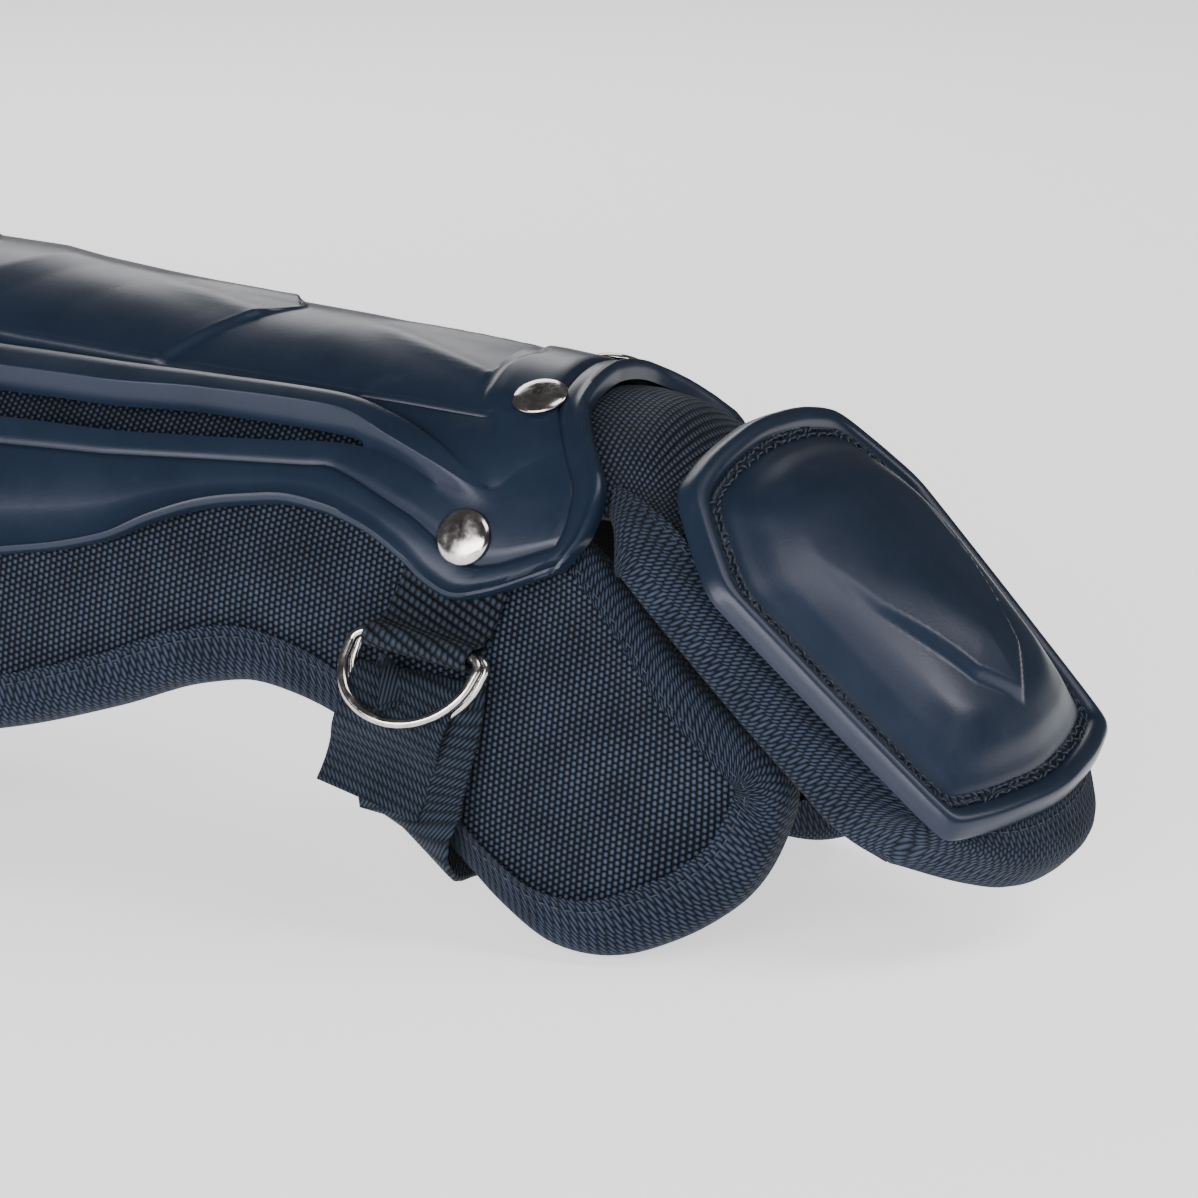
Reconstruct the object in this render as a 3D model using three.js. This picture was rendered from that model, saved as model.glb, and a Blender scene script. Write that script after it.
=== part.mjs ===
// Catcher's leg guard, lying shell up on its ankle and knee wings.
// Millimetres. +X runs down the leg to the toes, +Z is up, and the straps' rings are on the -Y side.
// A place on the guard is (x, s, off): x along the leg from the crown of the ankle arch,
// s the way round the leg from the crown, and off the height over the liner's outer face.
import * as THREE from 'three';

// Lengths along the leg
const shinLength = 296;        // ankle arch to the knee end of the hard shell
const thighReach = 515;        // ankle arch to the thigh end of the upper pad
const wingForward = 60.3;      // how far the ankle wings reach past the arch
const neckBack = 2;            // where the liner stops under the arch

// The leg's section: an arc over the crown, then a straight side
const ankleRadius = 43;
const ankleCrown = 107;        // height of the liner's outer face at the arch
const wingReach = 131.8;       // way round from the crown to the ankle wing's lowest edge

// Walls and clearances
const padThickness = 12;
const padEdge = 7;             // thickness of a pad at its bound edge
const tapeLap = 11;            // width of edge that the binding tape covers
const tapeThickness = 1.2;
const shellWall = 2.7;
const gap = 0.3;
const tapeGap = 0.45;          // between a pad and its folded tape
const strapThickness = 1.4;
const shellSeat = strapThickness + 3 * gap;   // room under the shell for a strap end

// Hard shell
const lobeReach = 64.2;        // way round to the low point of the ankle lobe
const archForward = 13.6;      // how far the lobe's front bulges past the crown of the arch
const archEdge = 5;            // the shell's edge at the crown, past the liner's arch
const beadWidth = 5;
const beadHeight = 1.5;
const panelRise = 7.5;         // tallest rise of the centre panels over the plain shell
const strutRise = 7;           // rise of the side struts
const stepSkew = 19.7;         // how far the chevron steps run back between crown and panel edge

// Straps and rings
const strapWidth = 25;
const wireRadius = 1.35;
const ringInside = 27.5;
const ringSlant = THREE.MathUtils.degToRad(15);
const ringAlong = -17;         // middle of the rings' bars
const ringAround = 75;
const strapClear = 6.5;         // room between a crossing strap and the pad's lower edge

// Rivets
const rivetRadius = 6.2;
const rivetHeight = 2.6;

// Toe flap
const flapTilt = THREE.MathUtils.degToRad(45.7);
const flapTopX = 33.6;         // upper corners of the toe plate, on the pad's face
const flapTopZ = 92.5;
const flapWidth = 92.6;        // widest, between the side corners of the plate
const flapPlateLength = 92;    // upper corners to lower corners
const flapArc = 7;             // rise of the plate's curved ends
const flapMargin = 8;          // pad past the plate's lower end
const flapSag = 5.3;           // how far the sides drop from the middle
const flapThickness = 13.5;
const flapTwist = THREE.MathUtils.degToRad(6);   // the far side stands higher, about the near side
const neckThickness = 9;
const neckReach = 41;          // way round from the crown to the neck's side
const plateDome = 9;

// Knee cap, thigh plate and loop straps
const kneeCapLength = 134;
const kneeDome = 17;
const thighPlateLength = 78;
const thighPlateReach = 54;
const thighDome = 6;
const kneeWingAlong = -352;
const calfStrapAlong = -186;
const thighStrapAlong = -447;

const navyPlastic = new THREE.MeshStandardMaterial({ color: 0x1d3042, roughness: 0.35, metalness: 0 });
const navyFabric = new THREE.MeshStandardMaterial({ color: 0x1b2838, roughness: 0.9, metalness: 0 });
const navyTape = new THREE.MeshStandardMaterial({ color: 0x202c3e, roughness: 0.85, metalness: 0 });
const navyWebbing = new THREE.MeshStandardMaterial({ color: 0x1a2536, roughness: 0.9, metalness: 0 });
const nickel = new THREE.MeshStandardMaterial({ color: 0xc9c2c0, roughness: 0.2, metalness: 1 });

// The leg's section along the guard: the radius as a share of the ankle's, the crown's height as
// a share of the ankle's, and the angle in degrees at which the side runs straight
const sectionColumns = ['along', 'radius', 'crown', 'turn'];
const sectionRows = [
  [-1.757, 1.35, 0.879, 75], [-1.52, 1.44, 0.972, 75], [-1.216, 1.465, 1.055, 75], [-1, 1.42, 1.1, 75],
  [-0.676, 1.33, 1.108, 75], [-0.405, 1.186, 1.07, 75], [0, 1, 1, 75], [0.091, 1, 0.99, 76],
  [0.24, 0.953, 0.972, 92], [0.3, 0.94, 0.965, 94],
];

// The shell's lower rim: the way round as a share of the lobe's reach
const rimRows = [
  [-1, 1.09], [-0.85, 1.22], [-0.68, 1.28], [-0.5, 1.24], [-0.37, 1.12], [-0.318, 1.04], [-0.28, 0.944],
  [-0.243, 0.869], [-0.212, 0.829], [-0.174, 0.799], [-0.149, 0.805], [-0.116, 0.836], [-0.082, 0.903],
  [-0.064, 0.961], [-0.04, 1], [-0.018, 0.975], [0.027, 0.885], [0.042, 0.858],
];

// The front edge of the lobe: the bulge as a share of archForward, by share of the way round
const archRows = [
  [0, 0], [0.28, 0.08], [0.45, 0.4], [0.56, 0.68], [0.67, 0.95], [0.745, 1], [0.85, 0.92], [1, 0.545],
];

// Lines along the shell, each a share of the lobe's reach round from the crown
const lineRows = [
  [-1, 0.43, 0.5, 0.6, 0.65, 0.7], [-0.78, 0.44, 0.5, 0.6, 0.64, 0.68], [-0.74, 0.45, 0.51, 0.61, 0.645, 0.7],
  [-0.6, 0.46, 0.52, 0.617, 0.648, 0.74], [-0.34, 0.436, 0.49, 0.58, 0.611, 0.692],
  [-0.257, 0.419, 0.469, 0.542, 0.573, 0.648], [-0.159, 0.403, 0.45, 0.517, 0.556, 0.597],
  [-0.111, 0.394, 0.48, 0.568, 0.59, 0.612], [-0.074, 0.391, 0.51, 0.612, 0.638, 0.665],
  [-0.037, 0.388, 0.5, 0.654, 0.685, 0.72], [-0.014, 0.36, 0.46, 0.62, 0.66, 0.71],
  [0.042, 0.31, 0.41, 0.55, 0.61, 0.68],
];

// Rise of the centre panels, as a share of panelRise: each step is a pair of rows close together
const panelRows = [
  [-1, 0], [-0.95, 0], [-0.86, 0.6], [-0.7, 0.86], [-0.52, 0.9], [-0.508, 0.9], [-0.5, 0.68], [-0.4, 0.7], [-0.25, 0.62],
  [-0.244, 0.62], [-0.237, 0.32], [-0.17, 0.36], [-0.08, 0.2], [-0.05, 0.13], [0, 0], [0.05, 0],
];

// Columns of the shell, each the place where it crosses the crown
const shellColumns = [
  -0.98, -0.94, -0.88, -0.81, -0.75, -0.69, -0.63, -0.57, -0.508, -0.5, -0.46, -0.41, -0.36, -0.31,
  -0.275, -0.244, -0.237, -0.205, -0.172, -0.138, -0.104, -0.07, -0.045,
];
const slotFrom = -0.75;        // the side vents, as shares of the shin's length
const slotTo = -0.125;

// The liner's outline from the front of the ankle wing to the knee: place along, way round as a
// share of wingReach, and the place where that column crosses the crown
const padRows = [
  [0.2037, 0.719, -0.0068], [0.1976, 0.802, -0.02], [0.1787, 0.885, -0.037], [0.1564, 0.932, -0.054],
  [0.1314, 0.968, -0.071], [0.0943, 1, -0.091], [0.0524, 0.994, -0.111], [0.0155, 0.95, -0.132],
  [-0.0189, 0.892, -0.152], [-0.068, 0.804, -0.176], [-0.123, 0.705, -0.203], [-0.168, 0.675, -0.23],
  [-0.205, 0.669, -0.257], [-0.244, 0.69, -0.287], [-0.3135, 0.761, -0.338], [-0.39, 0.827, -0.4],
  [-0.49, 0.88, -0.493], [-0.608, 0.903, -0.608], [-0.726, 0.888, -0.726], [-0.845, 0.835, -0.845],
  [-0.93, 0.781, -0.93], [-0.99, 0.736, -0.99],
];
const padRowShares = [0, 0.22, 0.41, 0.53, 0.7, 0.86, 1];

// The front edge of the wing: share of its forward reach, by share of its way round
const wingFrontRows = [
  [0, 0], [0.348, 0.07], [0.443, 0.15], [0.527, 0.27], [0.607, 0.415], [0.717, 0.57],
  [0.839, 0.77], [0.923, 0.93], [1, 1],
];

// The knee pad's outline: share of the way from the joint to the thigh end, and share of the knee wing
const kneePadRows = [
  [0, 0.645], [0.035, 0.7], [0.1, 0.84], [0.175, 0.955], [0.26, 1], [0.345, 0.975], [0.42, 0.895],
  [0.5, 0.79], [0.6, 0.71], [0.735, 0.665], [0.87, 0.62], [0.95, 0.565], [1, 0.47],
];
const kneeRowShares = [0, 0.28, 0.54, 0.78, 1];

// The toe plate's outline from its upper end to its lower end: place along as a share of the
// plate's length, and half width as a share of the widest
const plateRows = [
  [-0.076, 0], [-0.055, 0.42], [-0.022, 0.68], [0.012, 0.765], [0.12, 0.89], [0.232, 1], [0.33, 0.985],
  [0.62, 0.93], [0.97, 0.85], [1.005, 0.8], [1.045, 0.5], [1.076, 0],
];

// The flap's pad: place along from the upper corners as a share of the flap's length below them,
// half width, and how much the neck's shape still shows
const flapRows = [
  [-0.06, 0.91, 0.8], [0.03, 0.97, 0.15], [0.13, 0.985, 0], [0.3, 0.985, 0], [0.48, 0.98, 0], [0.66, 0.965, 0],
  [0.8, 0.95, 0], [0.9, 0.9, 0], [1, 0.8, 0],
];
const flapBow = 0.2;           // how far the end curves back at its sides, as a share of the length

// Value of a table's column at a place, on a smooth curve through its rows
function readTable(rows, column, at) {
  const last = rows.length - 1;
  if (at <= rows[0][0]) return rows[0][column];
  if (at >= rows[last][0]) return rows[last][column];
  let k = 0;
  while (rows[k + 1][0] < at) k += 1;
  const [x0, x1] = [rows[k][0], rows[k + 1][0]];
  const [y0, y1] = [rows[k][column], rows[k + 1][column]];
  const step = x1 - x0;
  const rise = (y1 - y0) / step;
  const slopeAt = (m, inner) => {
    if (m === 0 || m === last) return inner;
    const before = (rows[m][column] - rows[m - 1][column]) / (rows[m][0] - rows[m - 1][0]);
    const after = (rows[m + 1][column] - rows[m][column]) / (rows[m + 1][0] - rows[m][0]);
    return before * after <= 0 ? 0 : 2 * before * after / (before + after);
  };
  const m0 = slopeAt(k, rise);
  const m1 = slopeAt(k + 1, rise);
  const t = (at - x0) / step;
  const hermite = (2 * t ** 3 - 3 * t ** 2 + 1) * y0 + (t ** 3 - 2 * t ** 2 + t) * step * m0
    + (-2 * t ** 3 + 3 * t ** 2) * y1 + (t ** 3 - t ** 2) * step * m1;
  return hermite;
}

// Value of a table's column on straight lines between its rows
function readLine(rows, column, at) {
  const last = rows.length - 1;
  if (at <= rows[0][0]) return rows[0][column];
  if (at >= rows[last][0]) return rows[last][column];
  let k = 0;
  while (rows[k + 1][0] < at) k += 1;
  const t = (at - rows[k][0]) / (rows[k + 1][0] - rows[k][0]);
  return rows[k][column] + t * (rows[k + 1][column] - rows[k][column]);
}

const mix = (a, b, t) => a + (b - a) * t;
const fade = (from, to, at) => THREE.MathUtils.smoothstep((at - from) / (to - from), 0, 1);

function sectionAt(x) {
  const along = x / shinLength;
  const read = (name) => readTable(sectionRows, sectionColumns.indexOf(name), along);
  return {
    radius: ankleRadius * read('radius'),
    crown: ankleCrown * read('crown'),
    turn: THREE.MathUtils.degToRad(read('turn')),
  };
}

function onLeg(x, s, off) {
  const { radius, crown, turn } = sectionAt(x);
  const round = Math.abs(s);
  const angle = Math.min(round / radius, turn);
  const straight = Math.max(round - radius * turn, 0);
  const y = (radius + off) * Math.sin(angle) + straight * Math.cos(turn);
  const z = crown - radius + (radius + off) * Math.cos(angle) - straight * Math.sin(turn);
  return new THREE.Vector3(x, Math.sign(s) * y, z);
}

// Way round the leg at x where the liner's face comes down to a height
function aroundAt(x, height) {
  const { radius, crown, turn } = sectionAt(x);
  const sideTop = crown - radius + radius * Math.cos(turn);
  return radius * turn + (sideTop - height) / Math.sin(turn);
}

function surfaceNormal(x, s) {
  return onLeg(x, s, 1).sub(onLeg(x, s, 0)).normalize();
}

// A closed solid from points and triangles, turned so that its faces point out
function solid(points, faces) {
  let volume = 0;
  for (const [a, b, c] of faces) volume += points[a].dot(points[b].clone().cross(points[c]));
  const index = faces.flatMap(([a, b, c]) => (volume < 0 ? [a, c, b] : [a, b, c]));
  const geometry = new THREE.BufferGeometry();
  geometry.setAttribute('position', new THREE.Float32BufferAttribute(points.flatMap((p) => p.toArray()), 3));
  geometry.setIndex(index);
  geometry.computeVertexNormals();
  return geometry;
}

// Which way a cell of a pad's grid is split: from a corner of the pad inwards
const splitsBack = (i, j, across) => (i === 0) === (j >= (across - 1) / 2);

// A wall between two grids of points, left open where a cell isn't kept
function wall(outer, inner, keep = () => true) {
  const across = outer[0].length;
  const points = [...outer.flat(), ...inner.flat()];
  const under = outer.length * across;
  const at = (i, j) => i * across + j;
  const kept = (i, j) => i >= 0 && j >= 0 && i < outer.length - 1 && j < across - 1 && keep(i, j);
  const faces = [];
  const edge = (a, b) => {
    if (a < b) faces.push([a, b, b + under], [a, b + under, a + under]);
    else faces.push([a, b, a + under], [b, b + under, a + under]);
  };
  for (let i = 0; i < outer.length - 1; i += 1) {
    for (let j = 0; j < across - 1; j += 1) {
      if (!kept(i, j)) continue;
      const [a, b, c, d] = [at(i, j), at(i + 1, j), at(i + 1, j + 1), at(i, j + 1)];
      const pair = splitsBack(i, j, across) ? [[a, b, d], [b, c, d]] : [[a, b, c], [a, c, d]];
      for (const [p, q, r] of pair) faces.push([p, q, r], [p + under, r + under, q + under]);
      if (!kept(i, j - 1)) edge(b, a);
      if (!kept(i + 1, j)) edge(c, b);
      if (!kept(i, j + 1)) edge(d, c);
      if (!kept(i - 1, j)) edge(a, d);
    }
  }
  return solid(points, faces);
}

// A band through profiles of one size; the second half of a profile runs back along the first.
// crossed says for which spans and sides of the profile a face is split the other way.
function band(profiles, closed = false, crossed = () => false) {
  const size = profiles[0].length;
  const points = profiles.flat();
  const faces = [];
  const quad = (a, b, c, d) => faces.push([a, b, c], [a, c, d]);
  const spans = closed ? profiles.length : profiles.length - 1;
  for (let i = 0; i < spans; i += 1) {
    const from = i * size;
    const to = ((i + 1) % profiles.length) * size;
    for (let k = 0; k < size; k += 1) {
      const next = (k + 1) % size;
      if (crossed(i, k)) quad(to + k, to + next, from + next, from + k);
      else quad(from + k, to + k, to + next, from + next);
    }
  }
  if (!closed) {
    const end = (profiles.length - 1) * size;
    for (let k = 0; k < size / 2 - 1; k += 1) {
      quad(k, k + 1, size - 2 - k, size - 1 - k);
      quad(end + k, end + size - 1 - k, end + size - 2 - k, end + k + 1);
    }
  }
  return solid(points, faces);
}

// The binding tape folded over a pad's edge: the edge's corners and the points a lap inside them
function bindingProfile(edgeOuter, edgeInner, lapOuter, lapInner) {
  const up = edgeOuter.clone().sub(edgeInner).normalize();
  const middle = edgeOuter.clone().add(edgeInner).multiplyScalar(0.5);
  const lapMiddle = lapOuter.clone().add(lapInner).multiplyScalar(0.5);
  const out = middle.clone().sub(lapMiddle);
  out.addScaledVector(up, -out.dot(up)).normalize();
  const lapShare = 0.85;
  const lay = (corner, lap, side, height) => [
    corner.clone().lerp(lap, lapShare).addScaledVector(up, side * height),
    corner.clone().addScaledVector(up, side * height).addScaledVector(out, height),
  ];
  const [topLap, topEdge] = lay(edgeOuter, lapOuter, 1, tapeGap + tapeThickness);
  const [lowLap, lowEdge] = lay(edgeInner, lapInner, -1, tapeGap + tapeThickness);
  const [topLapIn, topEdgeIn] = lay(edgeOuter, lapOuter, 1, tapeGap);
  const [lowLapIn, lowEdgeIn] = lay(edgeInner, lapInner, -1, tapeGap);
  return [topLap, topEdge, lowEdge, lowLap, lowLapIn, lowEdgeIn, topEdgeIn, topLapIn];
}

// The binding along a walk of grid places on the edge of a pad. Its faces are split as the pad's
// are, so that they lie evenly on them.
function binding(outer, inner, walk) {
  const lastRow = outer.length - 1;
  const lastColumn = outer[0].length - 1;
  const profiles = walk.map(([i, j], k) => {
    const [nextI, nextJ] = walk[k === 0 ? 1 : k - 1];
    const isEnd = k === 0 || k === walk.length - 1;
    const a = isEnd && j === nextJ ? i : THREE.MathUtils.clamp(i, 1, lastRow - 1);
    const b = isEnd && i === nextI ? j : THREE.MathUtils.clamp(j, 1, lastColumn - 1);
    return bindingProfile(outer[i][j], inner[i][j], outer[a][b], inner[a][b]);
  });
  const edgeLeads = walk.slice(1).map(([i, j], k) => {
    const cellI = Math.min(i, walk[k][0], lastRow - 1);
    const cellJ = Math.min(j, walk[k][1], lastColumn - 1);
    const back = splitsBack(cellI, cellJ, lastColumn + 1);
    const onSplit = back ? i - cellI !== j - cellJ : i - cellI === j - cellJ;
    return !onSplit;
  });
  const rises = walk.slice(1).map(([i, j], k) => i + j > walk[k][0] + walk[k][1]);
  const crossed = (span, side) => {
    if (side === 1) return !rises[span];
    if (side === 5) return rises[span];
    const edgeFirst = side === 2 || side === 6;
    return side % 2 === 0 && edgeFirst !== edgeLeads[span];
  };
  return band(profiles, false, crossed);
}

// A pad between two heights, thinner along its bound edges
function padGrids(rows, columns, place, thickness) {
  const grids = [[], []];
  for (let i = 0; i < rows; i += 1) {
    grids[0].push([]);
    grids[1].push([]);
    for (let j = 0; j < columns; j += 1) {
      const onEdge = i === 0 || j === 0 || i === rows - 1 || j === columns - 1;
      const depth = thickness(i, j);
      const inset = onEdge ? (depth - padEdge) / 2 : 0;
      grids[0][i].push(place(i, j, -inset));
      grids[1][i].push(place(i, j, inset - depth));
    }
  }
  return grids;
}

// Signed row shares from one side of a pad to the other, with its edges a lap outside the rest
function sideRows(shares, reach) {
  const inside = shares.map((share) => share * (reach - tapeLap));
  const half = [...inside, reach];
  return [...half.slice(1).reverse().map((s) => -s), ...half];
}

const wingFront = (share) => readTable(wingFrontRows, 1, share);

// The liner's places along and round, column by column from the front of the wings to the knee
const padPlaces = padRows.map(([along, around, crownAlong], column) => {
  const reach = around * wingReach;
  const crownX = crownAlong * shinLength;
  const edgeX = along > 0 ? along / padRows[0][0] * wingForward : along * shinLength;
  const curved = 1 - fade(0, 9, column);
  return sideRows(padRowShares, reach).map((s) => {
    const share = Math.abs(s) / reach;
    return [mix(crownX, edgeX, mix(share, wingFront(share), curved)), s];
  });
});
const [padOuter, padInner] = padGrids(
  padPlaces.length,
  padPlaces[0].length,
  (i, j, off) => onLeg(...padPlaces[i][j], off),
  () => padThickness,
);
const padSide = padPlaces[0].length - 1;
const padMiddle = padSide / 2;

// Front edge of the liner at a way round
function padFront(s) {
  const share = Math.abs(s) / (padRows[0][1] * wingReach);
  return mix(-neckBack, wingForward, wingFront(share));
}

function shinPadBinding(side) {
  const boundFrom = padRowShares.indexOf(0.53);   // rows nearer the crown lie against the toe flap's neck
  const walk = [];
  for (let j = padMiddle + boundFrom; j <= padSide; j += 1) walk.push([0, j]);
  for (let i = 1; i < padPlaces.length; i += 1) walk.push([i, padSide]);
  return binding(padOuter, padInner, walk.map(([i, j]) => [i, side > 0 ? j : padSide - j]));
}

// The knee pad, from its joint with the liner to the thigh end
const kneeJoint = -0.99 * shinLength - gap;
const kneeWing = aroundAt(kneeWingAlong, onLeg(padRows[5][0] * shinLength, wingReach, 0).z);
const kneePlaces = kneePadRows.map(([along, around]) => {
  const x = mix(kneeJoint, -thighReach, along);
  return sideRows(kneeRowShares, around * kneeWing).map((s) => [x, s]);
});
const [kneeOuter, kneeInner] = padGrids(
  kneePlaces.length,
  kneePlaces[0].length,
  (i, j, off) => onLeg(...kneePlaces[i][j], off),
  () => padThickness,
);

function kneePadBinding() {
  const side = kneePlaces[0].length - 1;
  const end = kneePlaces.length - 1;
  const walk = [];
  for (let i = 0; i < end; i += 1) walk.push([i, 0]);
  for (let j = 0; j <= side; j += 1) walk.push([end, j]);
  for (let i = end - 1; i >= 0; i -= 1) walk.push([i, side]);
  return binding(kneeOuter, kneeInner, walk);
}

// A place on the toe flap: along its slope from the upper corners, across it, and above its face
const flapLength = flapPlateLength + flapArc + flapMargin;
function onFlap(along, across, height, drop = 0, twisted = 1) {
  const share = across / (flapWidth / 2);
  const twist = flapTwist * twisted;
  const bowed = height - flapSag * share * share;
  const fromNear = across + flapWidth / 2;
  const lift = bowed * Math.cos(twist) + fromNear * Math.sin(twist);
  const y = fromNear * Math.cos(twist) - bowed * Math.sin(twist) - flapWidth / 2;
  const x = flapTopX + along * Math.cos(flapTilt) + lift * Math.sin(flapTilt);
  const z = flapTopZ - along * Math.sin(flapTilt) + lift * Math.cos(flapTilt);
  return new THREE.Vector3(x, y, z - drop * share * share);
}

// The flap's pad: a neck on the leg's section, then the sloping pad
const neckColumns = 3;
const neckAlong = 19.5;
const neckSink = 0.8;
const neckRows = [1, 2].map((row) => padRowShares[row] * (padRows[0][1] * wingReach - tapeLap) / neckReach);
const flapRowShares = [-1, -neckRows[1], -neckRows[0], 0, ...neckRows, 1];
const neckDrop = 9;            // how much lower the sides are where the neck meets the slope
const flapLean = 0.8;          // how far the pad's edge faces stand off the slope there
function flapPlace(i, j, off) {
  const share = flapRowShares[j];
  if (i < neckColumns) {
    const s = share * neckReach;
    const start = padFront(s) + gap * 3;
    return onLeg(mix(start, neckAlong, i / (neckColumns - 1)), s, off - neckSink);
  }
  const [along, width, sag] = flapRows[i - neckColumns];
  const bow = flapBow * flapLength * Math.max(along, 0) ** 3 * Math.abs(share) ** 2.5;
  const lean = -off * flapLean * sag;
  const twisted = 1 - sag;
  return onFlap(along * flapLength - bow + lean, share * width * flapWidth / 2, off, sag * neckDrop, twisted);
}
const flapColumns = neckColumns + flapRows.length;
const [flapOuter, flapInner] = padGrids(
  flapColumns,
  flapRowShares.length,
  flapPlace,
  (i) => mix(neckThickness, flapThickness, fade(neckColumns - 1, neckColumns + 2, i)),
);

function toePadBinding() {
  const side = flapRowShares.length - 1;
  const end = flapColumns - 1;
  const walk = [];
  for (let i = neckColumns - 1; i < end; i += 1) walk.push([i, 0]);
  for (let j = 0; j <= side; j += 1) walk.push([end, j]);
  for (let i = end - 1; i >= neckColumns - 1; i -= 1) walk.push([i, side]);
  return binding(flapOuter, flapInner, walk);
}

// The hard shell: rows from rim to rim, each a place round the leg and a height
function shellRow(crownAlong) {
  const x = crownAlong * shinLength;
  const front = fade(-0.2, 0, crownAlong);
  const skew = stepSkew * fade(-0.03, -0.237, crownAlong) * fade(-1, -0.6, crownAlong);
  const lowX = x - skew + archForward * readTable(archRows, 1, 1) * front;
  const low = lowX / shinLength;
  const line = (column) => readTable(lineRows, column, low) * lobeReach;
  const rim = readTable(rimRows, 1, low) * lobeReach;
  const plain = shellSeat + shellWall;
  const panel = plain + panelRise * readLine(panelRows, 1, crownAlong);
  const strut = strutRise * fade(-0.03, -0.12, low) * fade(-0.9, -0.78, low);
  const [panelEdge, strutIn, strutOut, slotTop, slotLow] = [1, 2, 3, 4, 5].map(line);
  const sink = Math.min(panel - plain, strutRise / 2) * 0.6;
  const rows = [
    [0, panel], [panelEdge * 0.55, panel], [panelEdge, panel - 0.4], [panelEdge + 1.6, panel - sink],
    [strutIn, plain + strut * 0.72], [strutOut, plain + strut], [slotTop, plain + strut * 0.45],
    [slotLow, plain], [(slotLow + rim - beadWidth) / 2, plain - 0.4], [rim - beadWidth - 2, plain - 0.2],
    [rim - beadWidth, plain + beadHeight], [rim - 1.5, plain + beadHeight], [rim, plain],
  ];
  const places = rows.map(([s, off]) => {
    const bulge = archForward * readTable(archRows, 1, s / rim) * front;
    const along = x - skew * Math.min(s / panelEdge, 1) + bulge;
    return [along, s, off];
  });
  const mirrored = places.slice(1).reverse().map(([along, s, off]) => [along, -s, off]);
  return [...mirrored, ...places];
}

function shinShell() {
  const archShare = archEdge / shinLength;
  const beadShare = beadWidth / shinLength;
  const columns = [
    -1, -1 + 1.5 / shinLength, -1 + beadShare, ...shellColumns,
    archShare - beadShare - 2 / shinLength, archShare - beadShare, archShare - 1.5 / shinLength, archShare,
  ];
  const last = columns.length - 1;
  const raised = [1, 2, last - 2, last - 1];
  const grids = columns.map((along, i) => shellRow(along).map(([x, s, off]) => {
    const lift = raised.includes(i) ? Math.max(off, shellSeat + shellWall + beadHeight) : off;
    return [x, s, lift];
  }));
  const outer = grids.map((row) => row.map(([x, s, off]) => onLeg(x, s, off)));
  const inner = grids.map((row) => row.map(([x, s, off]) => onLeg(x, s, Math.max(off - shellWall, shellSeat))));
  const middle = (grids[0].length - 1) / 2;
  const slotRow = 6;
  const inSlot = (i, j) => {
    const row = j >= middle ? j - middle : middle - 1 - j;
    const along = grids[i][middle + slotRow][0] / shinLength;
    const next = grids[i + 1][middle + slotRow][0] / shinLength;
    return row === slotRow && along > slotFrom && next < slotTo;
  };
  return wall(outer, inner, (i, j) => !inSlot(i, j));
}

// A moulded plate from an outline round a middle, with a top and an under side given as rows of
// inset share and height
function mouldedPlate(outline, middle, top, under, place) {
  const points = [];
  const faces = [];
  const ring = ([inset, height]) => {
    const start = points.length;
    outline.forEach(([a, b]) => points.push(place(mix(a, middle[0], inset), mix(b, middle[1], inset), height)));
    return start;
  };
  const count = outline.length;
  const join = (from, to) => {
    for (let k = 0; k < count; k += 1) {
      const next = (k + 1) % count;
      faces.push([from + k, from + next, to + next], [from + k, to + next, to + k]);
    }
  };
  const cap = (from, height, flip) => {
    const centre = points.push(place(middle[0], middle[1], height)) - 1;
    for (let k = 0; k < count; k += 1) {
      const next = (k + 1) % count;
      faces.push(flip ? [from + next, from + k, centre] : [from + k, from + next, centre]);
    }
  };
  const tops = top.slice(0, -1).map(ring);
  const unders = under.slice(0, -1).map(ring);
  for (let k = 0; k + 1 < tops.length; k += 1) join(tops[k], tops[k + 1]);
  for (let k = 0; k + 1 < unders.length; k += 1) join(unders[k + 1], unders[k]);
  join(unders[0], tops[0]);
  cap(tops.at(-1), top.at(-1)[1], false);
  cap(unders.at(-1), under.at(-1)[1], true);
  return solid(points, faces);
}

// An outline on both sides of the middle from its half, whose ends lie on the middle
const bothSides = (half) => [...half, ...half.slice(1, -1).reverse().map(([a, b]) => [a, -b])];

function toePlate() {
  const half = plateRows.map(([along, across]) => [along * flapPlateLength, across * flapWidth / 2]);
  const seat = tapeGap + tapeThickness + gap;
  const rim = seat + shellWall;
  const top = [
    [0, rim - 0.6], [0.02, rim + beadHeight], [0.1, rim + beadHeight], [0.135, rim - 0.2], [0.2, rim],
    [0.3, rim + plateDome * 0.52], [0.45, rim + plateDome * 0.86], [0.7, rim + plateDome * 0.97], [1, rim + plateDome],
  ];
  const under = [
    [0, seat], [0.2, seat], [0.34, seat + plateDome * 0.52], [0.5, seat + plateDome * 0.82],
    [1, seat + plateDome * 0.95],
  ];
  return mouldedPlate(bothSides(half), [flapPlateLength * 0.5, 0], top, under, onFlap);
}

// Half the outline of a plate with rounded corners, from the middle of one end to the other's
function roundedHalf(length, reach, corner) {
  const turns = 4;
  const half = [];
  for (let k = 0; k < 4; k += 1) half.push([-length / 2, (reach - corner) * k / 4]);
  for (let k = 0; k <= turns; k += 1) {
    const angle = Math.PI / 2 * k / turns;
    half.push([-length / 2 + corner * (1 - Math.cos(angle)), reach - corner * (1 - Math.sin(angle))]);
  }
  half.push([0, reach]);
  return [...half, ...half.slice(0, -1).reverse().map(([along, across]) => [-along, across])];
}

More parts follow.
